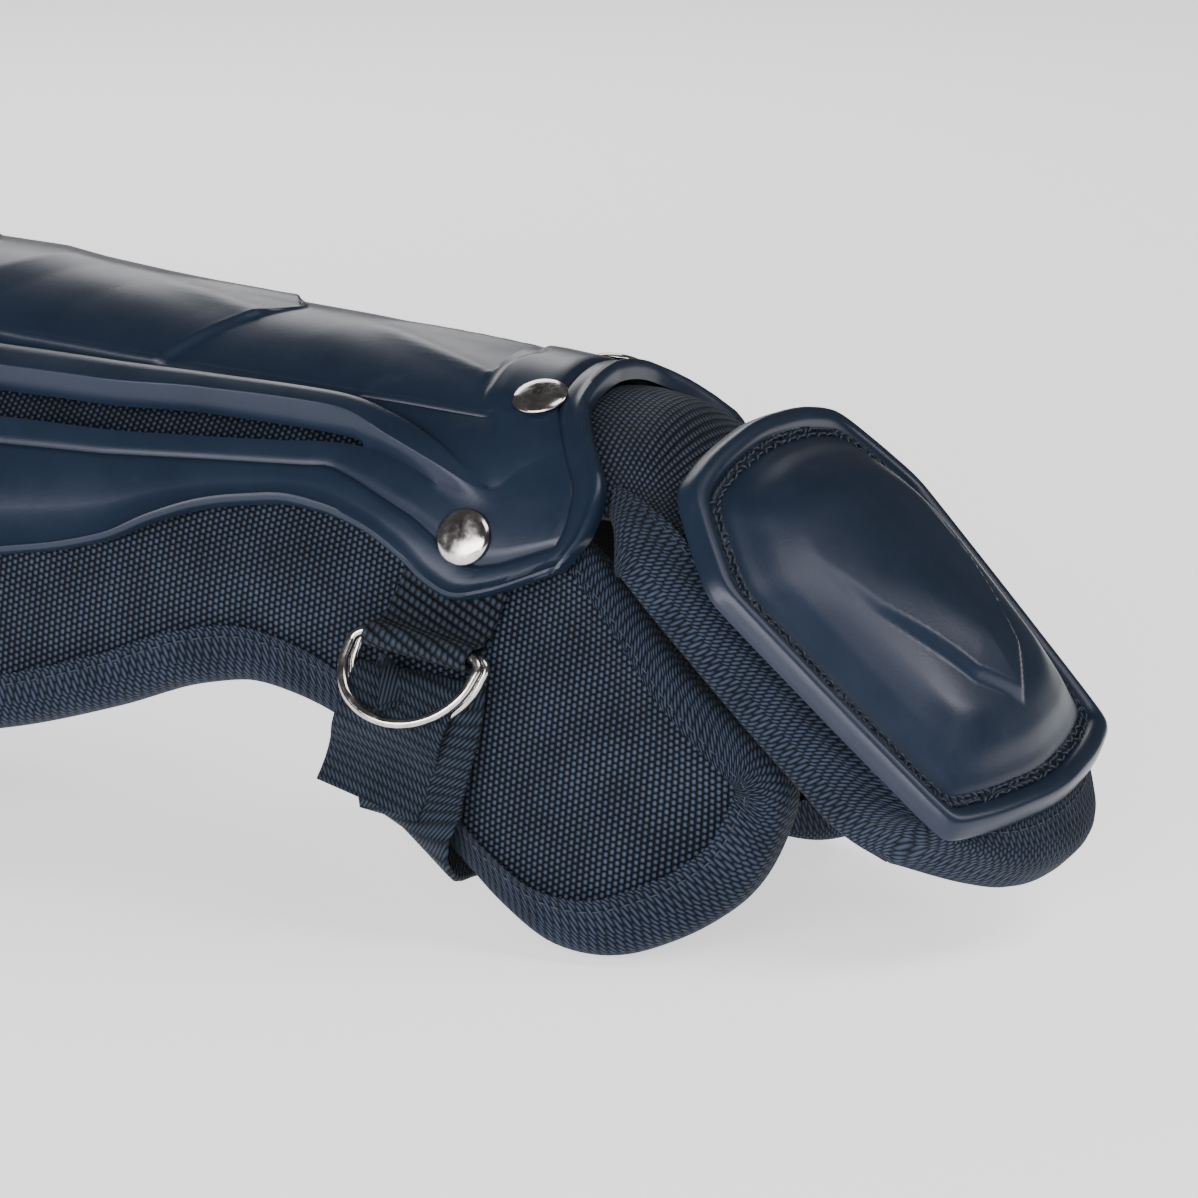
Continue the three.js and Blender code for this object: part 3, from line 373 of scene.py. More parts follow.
clothLooks = {
    "ballisticCloth": {
        "Pitch mm": 1.3, "Length ratio": 1.1, "Slant": 0.0, "Fuzz": 0.14,
        "dark": (0.0008, 0.002, 0.006), "light": (0.06, 0.084, 0.135), "from": 0.55,
        "bump": 1.0, "depth mm": 0.5, "roughness": 0.7, "sheen": 0.03, "specular": 0.2,
    },
    "hemTape": {
        "Pitch mm": 1.0, "Length ratio": 2.4, "Slant": 0.55, "Fuzz": 0.12,
        "dark": (0.002, 0.004, 0.009), "light": (0.046, 0.062, 0.1), "from": 0.45,
        "bump": 0.9, "depth mm": 0.35, "roughness": 0.8, "sheen": 0.03, "specular": 0.15,
    },
    "ribbedStrap": {
        "Pitch mm": 1.05, "Length ratio": 2.2, "Slant": 1.0, "Fuzz": 0.12,
        "dark": (0.0015, 0.003, 0.007), "light": (0.036, 0.05, 0.075), "from": 0.4,
        "bump": 0.9, "depth mm": 0.35, "roughness": 0.75, "sheen": 0.03, "specular": 0.15,
    },
    "knobbyWebbing": {
        "Pitch mm": 2.1, "Length ratio": 0.75, "Slant": 0.35, "Fuzz": 0.16,
        "dark": (0.001, 0.002, 0.005), "light": (0.04, 0.055, 0.082), "from": 0.45,
        "bump": 1.0, "depth mm": 0.8, "roughness": 0.72, "sheen": 0.03, "specular": 0.15,
    },
    "innerLining": {
        "Pitch mm": 0.8, "Length ratio": 1.0, "Slant": 0.0, "Fuzz": 0.25,
        "dark": (0.0015, 0.0015, 0.002), "light": (0.008, 0.009, 0.012), "from": 0.2,
        "bump": 0.5, "depth mm": 0.25, "roughness": 0.9, "sheen": 0.05, "specular": 0.1,
    },
}
cloth = {name: clothMaterial(name, look) for name, look in clothLooks.items()}

plasticLook = {"dark": (0.009, 0.016, 0.031), "light": (0.0125, 0.0215, 0.04), "rubbed": (0.05, 0.06, 0.085),
               "gloss": (0.95, 0.9, 1.0), "smooth": 0.27, "dull": 0.38, "specular": 0.36, "grain bump": 0.12}


def plasticMaterial(name, rub):
    look = plasticLook
    material, add, join, shader = startMaterial(name)
    where = add("ShaderNodeTexCoord")
    grain = add("ShaderNodeGroup", node_tree=mouldedGrain)
    grain.inputs["Rub"].default_value = rub
    join(where.outputs["Object"], grain.inputs["Surface"])
    base = rampColour(add, grain.outputs["Sheen"], look["dark"], look["light"], 0.3, 0.7)
    mask, rubbed = grain.outputs["Rubbed"], (*look["rubbed"], 1)
    tint = add("ShaderNodeMix", {0: mask, 6: base, 7: rubbed}, data_type="RGBA")
    join(tint.outputs[2], shader.inputs["Base Color"])
    spread = {"From Min": 0.3, "From Max": 0.7, "To Min": look["smooth"], "To Max": look["dull"]}
    rough = add("ShaderNodeMapRange", {"Value": grain.outputs["Sheen"], **spread})
    join(rough.outputs["Result"], shader.inputs["Roughness"])
    shader.inputs["Specular IOR Level"].default_value = look["specular"]
    shader.inputs["Specular Tint"].default_value = (*look["gloss"], 1)
    height = {"Height": grain.outputs["Height"]}
    bump = add("ShaderNodeBump", {"Strength": look["grain bump"], "Distance": 0.0002, **height})
    join(bump.outputs[0], shader.inputs["Normal"])
    return material


navyPlastic = plasticMaterial("navyPlastic", 0.12)


def nickelMaterial():
    material, add, join, shader = startMaterial("polishedNickel")
    where = add("ShaderNodeTexCoord").outputs["Object"]
    haze = add("ShaderNodeTexNoise", {"Vector": where, "Scale": 320.0, "Detail": 4.0, "Roughness": 0.65})
    spread = {"From Min": 0.35, "From Max": 0.7, "To Min": 0.1, "To Max": 0.3}
    rough = add("ShaderNodeMapRange", {"Value": haze.outputs["Fac"], **spread})
    join(rough.outputs["Result"], shader.inputs["Roughness"])
    colour = rampColour(add, haze.outputs["Fac"], (0.5, 0.46, 0.45), (0.78, 0.74, 0.72), 0.35, 0.7)
    join(colour, shader.inputs["Base Color"])
    bump = add("ShaderNodeBump", {"Strength": 0.06, "Distance": 0.0002, "Height": haze.outputs["Fac"]})
    join(bump.outputs[0], shader.inputs["Normal"])
    shader.inputs["Metallic"].default_value = 1.0
    return material


def threadMaterial():
    material, add, join, shader = startMaterial("navyThread")
    where = add("ShaderNodeTexCoord").outputs["Object"]
    twist = add("ShaderNodeTexNoise", {"Vector": where, "Scale": 1800.0, "Detail": 2.0})
    colour = rampColour(add, twist.outputs["Fac"], (0.006, 0.01, 0.018), (0.03, 0.04, 0.06), 0.3, 0.75)
    join(colour, shader.inputs["Base Color"])
    shader.inputs["Roughness"].default_value = 0.6
    return material


polishedNickel = nickelMaterial()
navyThread = threadMaterial()
print("materials made")


# Moulded shin shell
shell = {
    "seat": 2.3, "wall": 2.7, "lobeReach": 64.2, "archForward": 13.6, "archEdge": 5, "panelRise": 7.5,
    "strutRise": 7, "stepSkew": 19.7, "beadRise": 1.6, "lipRise": 0.8, "grooveDepth": 0.5,
    "slotFrom": -0.75, "slotTo": -0.125, "fineStep": 1.4, "plainStep": 2.8,
    "bossFrom": -16.8, "bossReach": 21, "bossRise": 0.9, "ridge": 0.45, "ridgeWidth": 2.6, "slotTaper": 0.07,
    "rimRows": 10, "crispAt": (-149.5, -72, -16.8), "crispReach": 4.5, "crispStep": 0.55, "fineFrom": -135,
    "crownRows": 16, "slotRow": 30,
}
rimRows = [     # along the shell, and the way round to its rim as a share of the lobe's
    (-1, 1.09), (-0.85, 1.22), (-0.68, 1.28), (-0.5, 1.24), (-0.37, 1.12), (-0.318, 1.04), (-0.28, 0.944),
    (-0.243, 0.869), (-0.212, 0.829), (-0.174, 0.799), (-0.149, 0.805), (-0.116, 0.836), (-0.082, 0.903),
    (-0.064, 0.961), (-0.04, 1), (-0.018, 0.975), (0.027, 0.885), (0.042, 0.858),
]
archRows = [    # way round as a share of the rim's, and how far forward the edge is there
    (0, 0), (0.28, 0.08), (0.45, 0.4), (0.56, 0.68), (0.67, 0.95), (0.745, 1), (0.85, 0.92), (1, 0.545),
]
lineRows = [    # along, then panel edge, strut's inner and outer edge, and the slot's two edges
    (-1, 0.43, 0.5, 0.6, 0.65, 0.7), (-0.78, 0.44, 0.5, 0.6, 0.64, 0.68),
    (-0.74, 0.45, 0.51, 0.61, 0.645, 0.7),
    (-0.6, 0.46, 0.52, 0.617, 0.648, 0.74), (-0.34, 0.436, 0.49, 0.58, 0.611, 0.692),
    (-0.257, 0.419, 0.469, 0.542, 0.573, 0.648), (-0.159, 0.403, 0.45, 0.517, 0.556, 0.597),
    (-0.111, 0.394, 0.48, 0.568, 0.59, 0.612), (-0.074, 0.391, 0.54, 0.612, 0.638, 0.665),
    (-0.037, 0.388, 0.635, 0.654, 0.685, 0.72), (-0.014, 0.36, 0.56, 0.62, 0.66, 0.71),
    (0.042, 0.31, 0.41, 0.55, 0.61, 0.68),
]
panelRows = [   # along the crown, and the panels' rise as a share of the tallest
    (-1, 0), (-0.95, 0), (-0.86, 0.6), (-0.7, 0.88), (-0.56, 1.03), (-0.508, 1.06), (-0.5, 0.94),
    (-0.443, 0.96), (-0.409, 0.82), (-0.355, 0.68), (-0.27, 0.54), (-0.25, 0.52), (-0.245, 0.52),
    (-0.237, 0.39), (-0.182, 0.36), (-0.098, 0.22), (-0.05, 0.13), (0, 0), (0.05, 0),
]
grooveRows = [      # the groove inside the rim: along the shell, and the way round as a share of the lobe's
    (-1, 0.79), (-0.85, 0.83), (-0.68, 0.85), (-0.5, 0.83), (-0.4, 0.795), (-0.331, 0.768), (-0.251, 0.718),
    (-0.174, 0.67), (-0.157, 0.656), (-0.136, 0.684), (-0.0875, 0.768), (-0.0605, 0.841), (-0.0476, 0.871),
    (-0.0355, 0.878), (-0.02, 0.86), (0.027, 0.77), (0.042, 0.745),
]
facets = [      # flat cuts along the crown: where each starts, where it ends and how wide it is there
    {"from": -57, "to": -19, "half": 13.5}, {"from": -113, "to": -71.5, "half": 8.5},
    {"from": -190, "to": -149, "half": 9},
]


def facetDrop(x, s):
    drop = 0
    for facet in facets:
        if facet["from"] < x <= facet["to"]:
            half = facet["half"] * (x - facet["from"]) / (facet["to"] - facet["from"])
            if abs(s) < half:
                drop = (half * half - s * s) / (2 * sectionAt(x)[0])
            crest = math.exp(-((abs(s) - half) / shell["ridgeWidth"]) ** 2)
            drop -= shell["ridge"] * crest * fade(0, 5, half)
    return drop


def shellHalfRow(crownAlong):
    length, lobe = leg["shinLength"], shell["lobeReach"]
    x = crownAlong * length
    front = fade(-0.2, 0, crownAlong)
    skew = shell["stepSkew"] * fade(-0.03, -0.237, crownAlong) * fade(-1, -0.6, crownAlong)
    low = (x - skew + shell["archForward"] * readTable(archRows, 1, 1) * front) / length
    rim = readTable(rimRows, 1, low) * lobe
    plain = shell["seat"] + shell["wall"]
    panel = plain + shell["panelRise"] * readLine(panelRows, 1, crownAlong)
    strut = shell["strutRise"] * min(max((-0.034 - low) / 0.1, 0), 1) * fade(-0.9, -0.78, low)
    edge, strutIn, strutOut, slotTop, slotLow = [readTable(lineRows, c, low) * lobe for c in range(1, 6)]
    slotLow = mix(slotTop + 0.25, slotLow, min(abs(low - shell["slotTo"]) / shell["slotTaper"], 1) ** 0.8)
    sink = min(panel - plain, shell["strutRise"] / 2) * 0.6
    bed = max(panel - sink, plain)
    bead, lip = shell["beadRise"], shell["lipRise"]
    lipIn = max(readLine(grooveRows, 1, low) * lobe, slotLow + 2)
    cut = fade(-13, -17, x)
    crown = shell["crownRows"]
    rows = [(edge * k / crown, panel - 0.9 * cut * (k / crown) ** 2) for k in range(crown)]
    rows += [
        (edge - 1.0, panel - 0.88 * cut), (edge - 0.45, panel - 0.68 * cut), (edge, panel - 0.7 * cut),
        (edge + 0.5, panel - 1.3 * cut), (edge + 1.3, mix(bed, panel - 1.3 * cut, 0.15)),
        (mix(edge + 1.3, strutIn - 0.9, 0.6), bed),
        (strutIn - 0.9, bed + 0.1),
        (strutIn - 0.2, mix(bed, plain + strut * 0.75, 0.8)), (strutIn + 0.5, plain + strut * 0.79),
        (mix(strutIn, strutOut, 0.4), plain + strut * 0.87), (strutOut - 0.5, plain + strut * 0.99),
        (strutOut - 0.15, plain + strut), (strutOut + 0.12, plain + strut * 0.96),
        (mix(strutOut, slotTop, 0.55), plain + strut * 0.7), (slotTop, plain + strut * 0.45),
        (slotLow, plain - 0.1), (mix(slotLow, lipIn, 0.2), plain), (mix(slotLow, lipIn, 0.65), plain),
        (lipIn - 0.6, plain - 0.05), (lipIn, plain - shell["grooveDepth"]), (lipIn + 0.7, plain + 0.4),
        (lipIn + 1.5, plain + lip), (mix(lipIn + 1.5, rim - 2.2, 0.6), plain + lip * 0.8),
        (rim - 2.2, plain + lip), (rim - 1.5, plain + bead), (rim - 0.7, plain + bead * 0.95),
        (rim - 0.15, plain + bead * 0.5), (rim, plain - 0.5),
    ]
    places = []
    for s, off in rows:
        share = s / rim
        along = x - skew * min(s / edge, 1) + shell["archForward"] * readTable(archRows, 1, share) * front
        off -= facetDrop(x, s) if s < edge * 0.9 else 0
        start = shell["bossFrom"] + 3.6 * max(1 - s / 11.9, 0) ** 2
        boss = fade(start - 0.35, start + 0.35, x) * fade(0, -5, x)
        off += shell["bossRise"] * boss * fade(shell["bossReach"] + 2, shell["bossReach"] - 2, s)
        places.append((along, s, off))
    return places


lipRows = [     # distance from the edge, and the lip's height over the plain shell
    (0, -0.5), (0.15, 0.8), (0.8, 1.6), (1.5, 1.6), (2.2, 0.8),
    (3.6, 0.65), (5.2, 0.8), (6, 0.4), (6.7, -0.5),
]


def shellLip(places, distance):     # the beaded lip along the front and back edges
    if distance > lipRows[-1][0]:
        return places
    rise = shell["seat"] + shell["wall"] + readLine(lipRows, 1, distance)
    rimFrom = len(places) - shell["rimRows"]

    def lifted(k, off):
        if k < rimFrom:
            return rise
        if distance > lipRows[-2][0]:
            return off
        return max(off, rise) if distance > 0.1 else rise

    return [(x, s, lifted(k, off)) for k, (x, s, off) in enumerate(places)]


def shellColumns():
    length = leg["shinLength"]
    columns = [-length + distance for distance, rise in lipRows]
    x = -length + 9
    end = shell["archEdge"] - 7.6
    while x < end - 0.5:
        columns.append(x)
        near = any(abs(x - mark) < shell["crispReach"] for mark in shell["crispAt"])
        plainStep = shell["fineStep"] if x > shell["fineFrom"] else shell["plainStep"]
        x += shell["crispStep"] if near else plainStep
    return columns + [end] + [shell["archEdge"] - distance for distance, rise in lipRows[::-1]]


def shinShell():
    length, plain = leg["shinLength"], shell["seat"] + shell["wall"]
    columns = shellColumns()
    grid = []
    for x in columns:
        half = shellHalfRow(x / length)
        half = shellLip(half, min(shell["archEdge"] - x, x + length))
        grid.append([(a, -s, off) for a, s, off in half[:0:-1]] + half)
    across = len(grid[0])
    middle = (across - 1) // 2
    slotRow = middle + shell["slotRow"]

    def inSlot(i, j):
        row = j if j >= middle else 2 * middle - 1 - j
        here, there = grid[i][slotRow][0] / length, grid[i + 1][slotRow][0] / length
        return row == slotRow and here > shell["slotFrom"] and there < shell["slotTo"]

    outer = [onLeg(*place) for row in grid for place in row]
    inner = [onLeg(x, s, max(off - shell["wall"], shell["seat"])) for row in grid for x, s, off in row]
    faces = wallFaces(len(grid), across, lambda i, j: not inSlot(i, j))
    piece = makePiece("shinShell", outer + inner, faces, [navyPlastic], sharp=50)
    return ready(piece, "navy_plastic", "shin_shell")


shinShell()


# Padded liner, toe flap and knee pad
pad = {
    "thickness": 12, "edge": 7, "lap": 11, "tape": 1.2, "tapeGap": 0.45, "gap": 0.3,
    "start": 1.6, "cap mm": 6.0, "pressure": 2.0, "cell": 5.0,
}
padRows = [
    (0.2037, 0.719, -0.0068), (0.1976, 0.802, -0.02), (0.1787, 0.885, -0.037), (0.1564, 0.932, -0.054),
    (0.1314, 0.968, -0.071), (0.0943, 1, -0.091), (0.0524, 0.994, -0.111), (0.0155, 0.95, -0.132),
    (-0.0189, 0.892, -0.152), (-0.068, 0.804, -0.176), (-0.123, 0.705, -0.203), (-0.168, 0.675, -0.23),
    (-0.205, 0.669, -0.257), (-0.244, 0.69, -0.287), (-0.3135, 0.761, -0.338), (-0.39, 0.827, -0.4),
    (-0.49, 0.88, -0.493), (-0.608, 0.903, -0.608), (-0.726, 0.888, -0.726), (-0.845, 0.835, -0.845),
    (-0.93, 0.781, -0.93), (-0.99, 0.736, -0.99),
]
padRowShares = [0, 0.22, 0.41, 0.53, 0.7, 0.86, 1]
wingFrontRows = [
    (0, 0), (0.348, 0.07), (0.443, 0.15), (0.527, 0.27), (0.607, 0.415), (0.717, 0.57),
    (0.839, 0.77), (0.923, 0.93), (1, 1),
]
kneePadRows = [
    (0, 0.645), (0.035, 0.7), (0.1, 0.84), (0.175, 0.955), (0.26, 1), (0.345, 0.975), (0.42, 0.895),
    (0.5, 0.79), (0.6, 0.71), (0.735, 0.665), (0.87, 0.62), (0.95, 0.565), (1, 0.47),
]
kneeRowShares = [0, 0.28, 0.54, 0.78, 1]
kneeWingAlong = -352


def sideRows(shares, reach):
    half = [share * (reach - pad["lap"]) for share in shares] + [reach]
    return [-s for s in half[:0:-1]] + half


def padGrids(across, place, depths):
    grids = [[], []]
    rows = len(depths)
    for i in range(rows):
        grids[0].append([])
        grids[1].append([])
        for j in range(across):
            onEdge = i in (0, rows - 1) or j in (0, across - 1)
            depth = depths[i]
            inset = (depth - pad["edge"]) / 2 if onEdge else 0
            for grid, off in ((grids[0], -inset), (grids[1], inset - depth)):
                point, surface = place(i, j, off)
                grid[i].append((*point, *surface))
    return grids


def legPadGrids(places):        # both faces of a pad that lies on the leg
    def place(i, j, off):
        x, s = places[i][j]
        return onLeg(x, s, off), (x * 0.001, s * 0.001)

    return padGrids(len(places[0]), place, [pad["thickness"]] * len(places))


def linerPlaces():
    places = []
    for column, (along, around, crownAlong) in enumerate(padRows):
        reach = around * leg["wingReach"]
        crownX = crownAlong * leg["shinLength"]
        edgeX = along / padRows[0][0] * leg["wingForward"] if along > 0 else along * leg["shinLength"]
        curved = 1 - fade(0, 9, column)
        row = []
        for s in sideRows(padRowShares, reach):
            share = abs(s) / reach
            bent = mix(share, readTable(wingFrontRows, 1, share), curved)
            row.append((mix(crownX, edgeX, bent), s))
        places.append(row)
    return places


def wingFrontAt(s):
    share = abs(s) / (padRows[0][1] * leg["wingReach"])
    return mix(-leg["neckBack"], leg["wingForward"], readTable(wingFrontRows, 1, share))


def aroundAt(x, height):
    radius, crown, turn = sectionAt(x)
    sideTop = crown - radius + radius * math.cos(turn)
    return radius * turn + (sideTop - height) / math.sin(turn)


def stepsOf(grid, cell):        # how many fine cells each coarse one gets, along and across
    def widest(pairs):
        return max((Vector(a[:3]) - Vector(b[:3])).length for a, b in pairs)

    along = [widest(zip(grid[i], grid[i + 1])) for i in range(len(grid) - 1)]
    across = [widest([(row[j], row[j + 1]) for row in grid]) for j in range(len(grid[0]) - 1)]
    return [max(1, round(d / cell)) for d in along], [max(1, round(d / cell)) for d in across]


linerGrid = linerPlaces()
linerOuter, linerInner = legPadGrids(linerGrid)

kneeJoint = -0.99 * leg["shinLength"] - pad["gap"]
kneeWing = aroundAt(kneeWingAlong, onLeg(padRows[5][0] * leg["shinLength"], leg["wingReach"], 0).z)
kneeGrid = []
for along, around in kneePadRows:
    x = mix(kneeJoint, -leg["thighReach"], along)
    kneeGrid.append([(x, s) for s in sideRows(kneeRowShares, around * kneeWing)])
kneeOuter, kneeInner = legPadGrids(kneeGrid)

flap = {
    "tilt": math.radians(45.7), "topX": 33.6, "topZ": 92.5, "width": 92.6, "plateLength": 92, "arc": 7,
    "margin": 8, "sag": 5.3, "thickness": 13.5, "neckThickness": 9, "neckReach": 41, "dome": 9, "bow": 0.2,
    "neckColumns": 3, "neckAlong": 19.5, "neckSink": -1.6,
    "neckDrop": 9, "lean": 0.8, "twist": math.radians(6),
}
flapRows = [
    (-0.06, 0.91, 0.8), (0.03, 0.97, 0.15), (0.13, 0.985, 0), (0.3, 0.985, 0), (0.48, 0.98, 0),
    (0.66, 0.965, 0), (0.8, 0.95, 0), (0.9, 0.9, 0), (1, 0.8, 0),
]
flapLength = flap["plateLength"] + flap["arc"] + flap["margin"]


def onFlap(along, across, height, drop=0, twisted=1):
    share = across / (flap["width"] / 2)
    twist = flap["twist"] * twisted
    bowed, fromNear = height - flap["sag"] * share * share, across + flap["width"] / 2
    lift = bowed * math.cos(twist) + fromNear * math.sin(twist)
    y = fromNear * math.cos(twist) - bowed * math.sin(twist) - flap["width"] / 2
    x = flap["topX"] + along * math.cos(flap["tilt"]) + lift * math.sin(flap["tilt"])
    z = flap["topZ"] - along * math.sin(flap["tilt"]) + lift * math.cos(flap["tilt"])
    return Vector((x, y, z - drop * share * share))


neckShares = [
    padRowShares[row] * (padRows[0][1] * leg["wingReach"] - pad["lap"]) / flap["neckReach"] for row in (1, 2)
]
flapShares = [-1, -neckShares[1], -neckShares[0], 0, *neckShares, 1]


def flapPlace(i, j, off):
    share = flapShares[j]
    if i < flap["neckColumns"]:
        s = share * flap["neckReach"]
        start = wingFrontAt(s) + pad["gap"] * 3
        x = mix(start, flap["neckAlong"], i / (flap["neckColumns"] - 1))
        return onLeg(x, s, off - flap["neckSink"]), (x * 0.001, s * 0.001)
    along, width, sag = flapRows[i - flap["neckColumns"]]
    bow = flap["bow"] * flapLength * max(along, 0) ** 3 * abs(share) ** 2.5
    lean = -off * flap["lean"] * sag
    x, y = along * flapLength - bow, share * width * flap["width"] / 2
    return onFlap(x + lean, y, off, sag * flap["neckDrop"], 1 - sag), (0.036 + x * 0.001, y * 0.001)


flapCount = flap["neckColumns"] + len(flapRows)
flapDepths = [mix(flap["neckThickness"], flap["thickness"], fade(2, 5, i)) for i in range(flapCount)]
flapOuter, flapInner = padGrids(len(flapShares), flapPlace, flapDepths)


def puff(piece, hem):       # a short inflation that fills the foam out between its sewn edges
    scene = bpy.context.scene
    group = piece.vertex_groups.new(name="hem")
    for index, weight in hem.items():
        group.add([index], weight, "REPLACE")
    before = [v.co.copy() for v in piece.data.vertices]
    filling = piece.modifiers.new("filling", "CLOTH")
    filling.settings.quality = 5
    filling.settings.mass = 0.2
    filling.settings.tension_stiffness = 25
    filling.settings.compression_stiffness = 25
    filling.settings.shear_stiffness = 10
    filling.settings.bending_stiffness = 2
    filling.settings.vertex_group_mass = "hem"
    filling.settings.use_pressure = True
    filling.settings.uniform_pressure_force = pad["pressure"]
    filling.settings.effector_weights.gravity = 0
    for number in range(1, 16):
        scene.frame_set(number)
    seen = piece.evaluated_get(bpy.context.evaluated_depsgraph_get())
    after = [v.co.copy() for v in seen.data.vertices]
    piece.modifiers.remove(filling)
    cap = pad["cap mm"] * 0.001
    for vertex, old, new in zip(piece.data.vertices, before, after):
        move = new - old
        vertex.co = old + move * min(1, cap / max(move.length, 1e-9))
    scene.frame_set(1)
    piece.vertex_groups.clear()


def makePad(name, outer, inner, node, ceiling):
    along, across = stepsOf(outer, pad["cell"])
    fineOuter = refineGrid(outer, along, across)
    fineInner = refineGrid(inner, along, across)
    rows, width = len(fineOuter), len(fineOuter[0])
    points, uvs, hem = [], [], {}
    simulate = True
    for grid, side in ((fineOuter, 1), (fineInner, -1)):
        other = fineInner if side == 1 else fineOuter
        for i in range(rows):
            for j in range(width):
                here, under = Vector(grid[i][j][:3]), Vector(other[i][j][:3])
                inward = (under - here).normalized()
                nearEdge = min(i, rows - 1 - i, j, width - 1 - j)
                depth = (pad["start"] if simulate else 0.15) if nearEdge > 2 else 0.1
                hem[len(points)] = 1.0 if nearEdge < 3 else 0.0
                points.append(here + inward * depth)
                uvs.append((grid[i][j][3], grid[i][j][4]))
    half = rows * width
    cloths = [cloth["ballisticCloth"], cloth["innerLining"]]
    piece = makePiece(name, points, wallFaces(rows, width), cloths, uvs,
                      lambda polygon: 1 if min(polygon.vertices) >= half else 0)
    if simulate:
        puff(piece, hem)
        for index in range(half):       # the outer face stays under what lies on it
            i, j = divmod(index, width)
            face = toFrame(fineOuter[i][j][:3])
            up = (face - toFrame(fineInner[i][j][:3])).normalized()
            over = (piece.data.vertices[index].co - face).dot(up) - ceiling * 0.001
            if over > 0:
                piece.data.vertices[index].co -= up * over
    smooth = piece.modifiers.new("smooth", "SUBSURF")
    smooth.levels = smooth.render_levels = 1
    ready(piece, "navy_fabric", node)
    return fineOuter, fineInner


makePad("linerPad", linerOuter, linerInner, "shin_pad", 0.1)
makePad("kneePad", kneeOuter, kneeInner, "knee_pad", 0.1)
makePad("toePad", flapOuter, flapInner, "toe_pad", 0.1)


# Tape folded over the pads' edges
tapeLook = {"lapShare": 0.85, "round": 0.3, "span": 1.6, "foldPitch": 1.8}


def tapeProfile(edgeOuter, edgeInner, lapOuter, lapInner):
    corner = [Vector(p[:3]) for p in (edgeOuter, edgeInner, lapOuter, lapInner)]
    edgeUp = (corner[0] - corner[1]).normalized()
    middle, lapMiddle = (corner[0] + corner[1]) / 2, (corner[2] + corner[3]) / 2
    out = middle - lapMiddle
    out = (out - edgeUp * out.dot(edgeUp)).normalized()

    def lay(at, lap, side, height):
        inside = at.lerp(lap, tapeLook["lapShare"]) + edgeUp * side * height
        return inside, at + edgeUp * side * height + out * height

    def fold(height):
        topLap, topEdge = lay(corner[0], corner[2], 1, height)
        lowLap, lowEdge = lay(corner[1], corner[3], -1, height)
        line = [topLap.lerp(topEdge, t) for t in (0, 0.1, 0.35, 0.6)]
        a, b = topEdge.lerp(topLap, tapeLook["round"]), topEdge.lerp(lowEdge, tapeLook["round"] * 1.1)
        line += [a.lerp(topEdge, t).lerp(topEdge.lerp(b, t), t) for t in (0, 0.3, 0.6, 0.85, 1)]
        c, d = lowEdge.lerp(topEdge, tapeLook["round"] * 1.1), lowEdge.lerp(lowLap, tapeLook["round"])
        line += [c.lerp(lowEdge, t).lerp(lowEdge.lerp(d, t), t) for t in (0, 0.3, 0.6, 0.85, 1)]
        return line + [lowEdge.lerp(lowLap, t) for t in (0.6, 0.9, 1)]

    outside, inside = fold(pad["tapeGap"] + pad["tape"]), fold(pad["tapeGap"])
    return outside + inside[::-1]


stitchLines = []


def makeTape(name, outer, inner, walk, node):
    lastRow, lastColumn = len(outer) - 1, len(outer[0]) - 1
    corners = []
    for k, (i, j) in enumerate(walk):
        nextI, nextJ = walk[1 if k == 0 else k - 1]
        isEnd = k in (0, len(walk) - 1)
        a = i if isEnd and j == nextJ else min(max(i, 1), lastRow - 1)
        b = j if isEnd and i == nextI else min(max(j, 1), lastColumn - 1)
        corners.append(tuple(c for grid, p, q in ((outer, i, j), (inner, i, j), (outer, a, b), (inner, a, b))
                             for c in grid[p][q][:3]))
    fine = refineRow(corners, stepsBetween(corners, tapeLook["span"]))
    points, uvs, lapLine = [], [], []
    travelled = 0.0
    for k, station in enumerate(fine):
        if k:
            travelled += (Vector(station[:3]) - Vector(fine[k - 1][:3])).length
        profile = tapeProfile(station[0:3], station[3:6], station[6:9], station[9:12])
        size = len(profile)
        across = 0.0
        for m, point in enumerate(profile):
            if 0 < m < size // 2:
                across += (point - profile[m - 1]).length
            points.append(point)
            folded = m if m < size // 2 else size - 1 - m
            uvs.append((travelled * 0.001, folded * tapeLook["foldPitch"] * 0.001))
        lapLine.append((profile[0].lerp(profile[3], 0.35), (profile[0] - profile[-1]).normalized()))
    piece = makePiece(name, points, bandFaces(len(fine), size), [cloth["hemTape"]], uvs, sharp=60)
    stitchLines.append({"line": lapLine})
    return ready(piece, "navy_tape", node)


linerSide = len(linerGrid[0]) - 1
linerWalk = [(0, j) for j in range(linerSide // 2 + 3, linerSide + 1)]
linerWalk += [(i, linerSide) for i in range(1, len(linerGrid))]
nearWalk = [(i, linerSide - j) for i, j in linerWalk]
makeTape("linerTapeNear", linerOuter, linerInner, nearWalk, "shin_pad_binding_near")
makeTape("linerTapeFar", linerOuter, linerInner, linerWalk, "shin_pad_binding_far")


def roundTheEnd(start, end, side):      # down one side of a pad, across its end and back up the other
    down = [(i, 0) for i in range(start, end)]
    back = [(i, side) for i in range(end - 1, start - 1, -1)]
    return down + [(end, j) for j in range(side + 1)] + back


kneeWalk = roundTheEnd(0, len(kneeGrid) - 1, len(kneeGrid[0]) - 1)
makeTape("kneeTape", kneeOuter, kneeInner, kneeWalk, "knee_pad_binding")
flapWalk = roundTheEnd(flap["neckColumns"] - 1, flapCount - 1, len(flapShares) - 1)
makeTape("toeTape", flapOuter, flapInner, flapWalk, "toe_pad_binding")


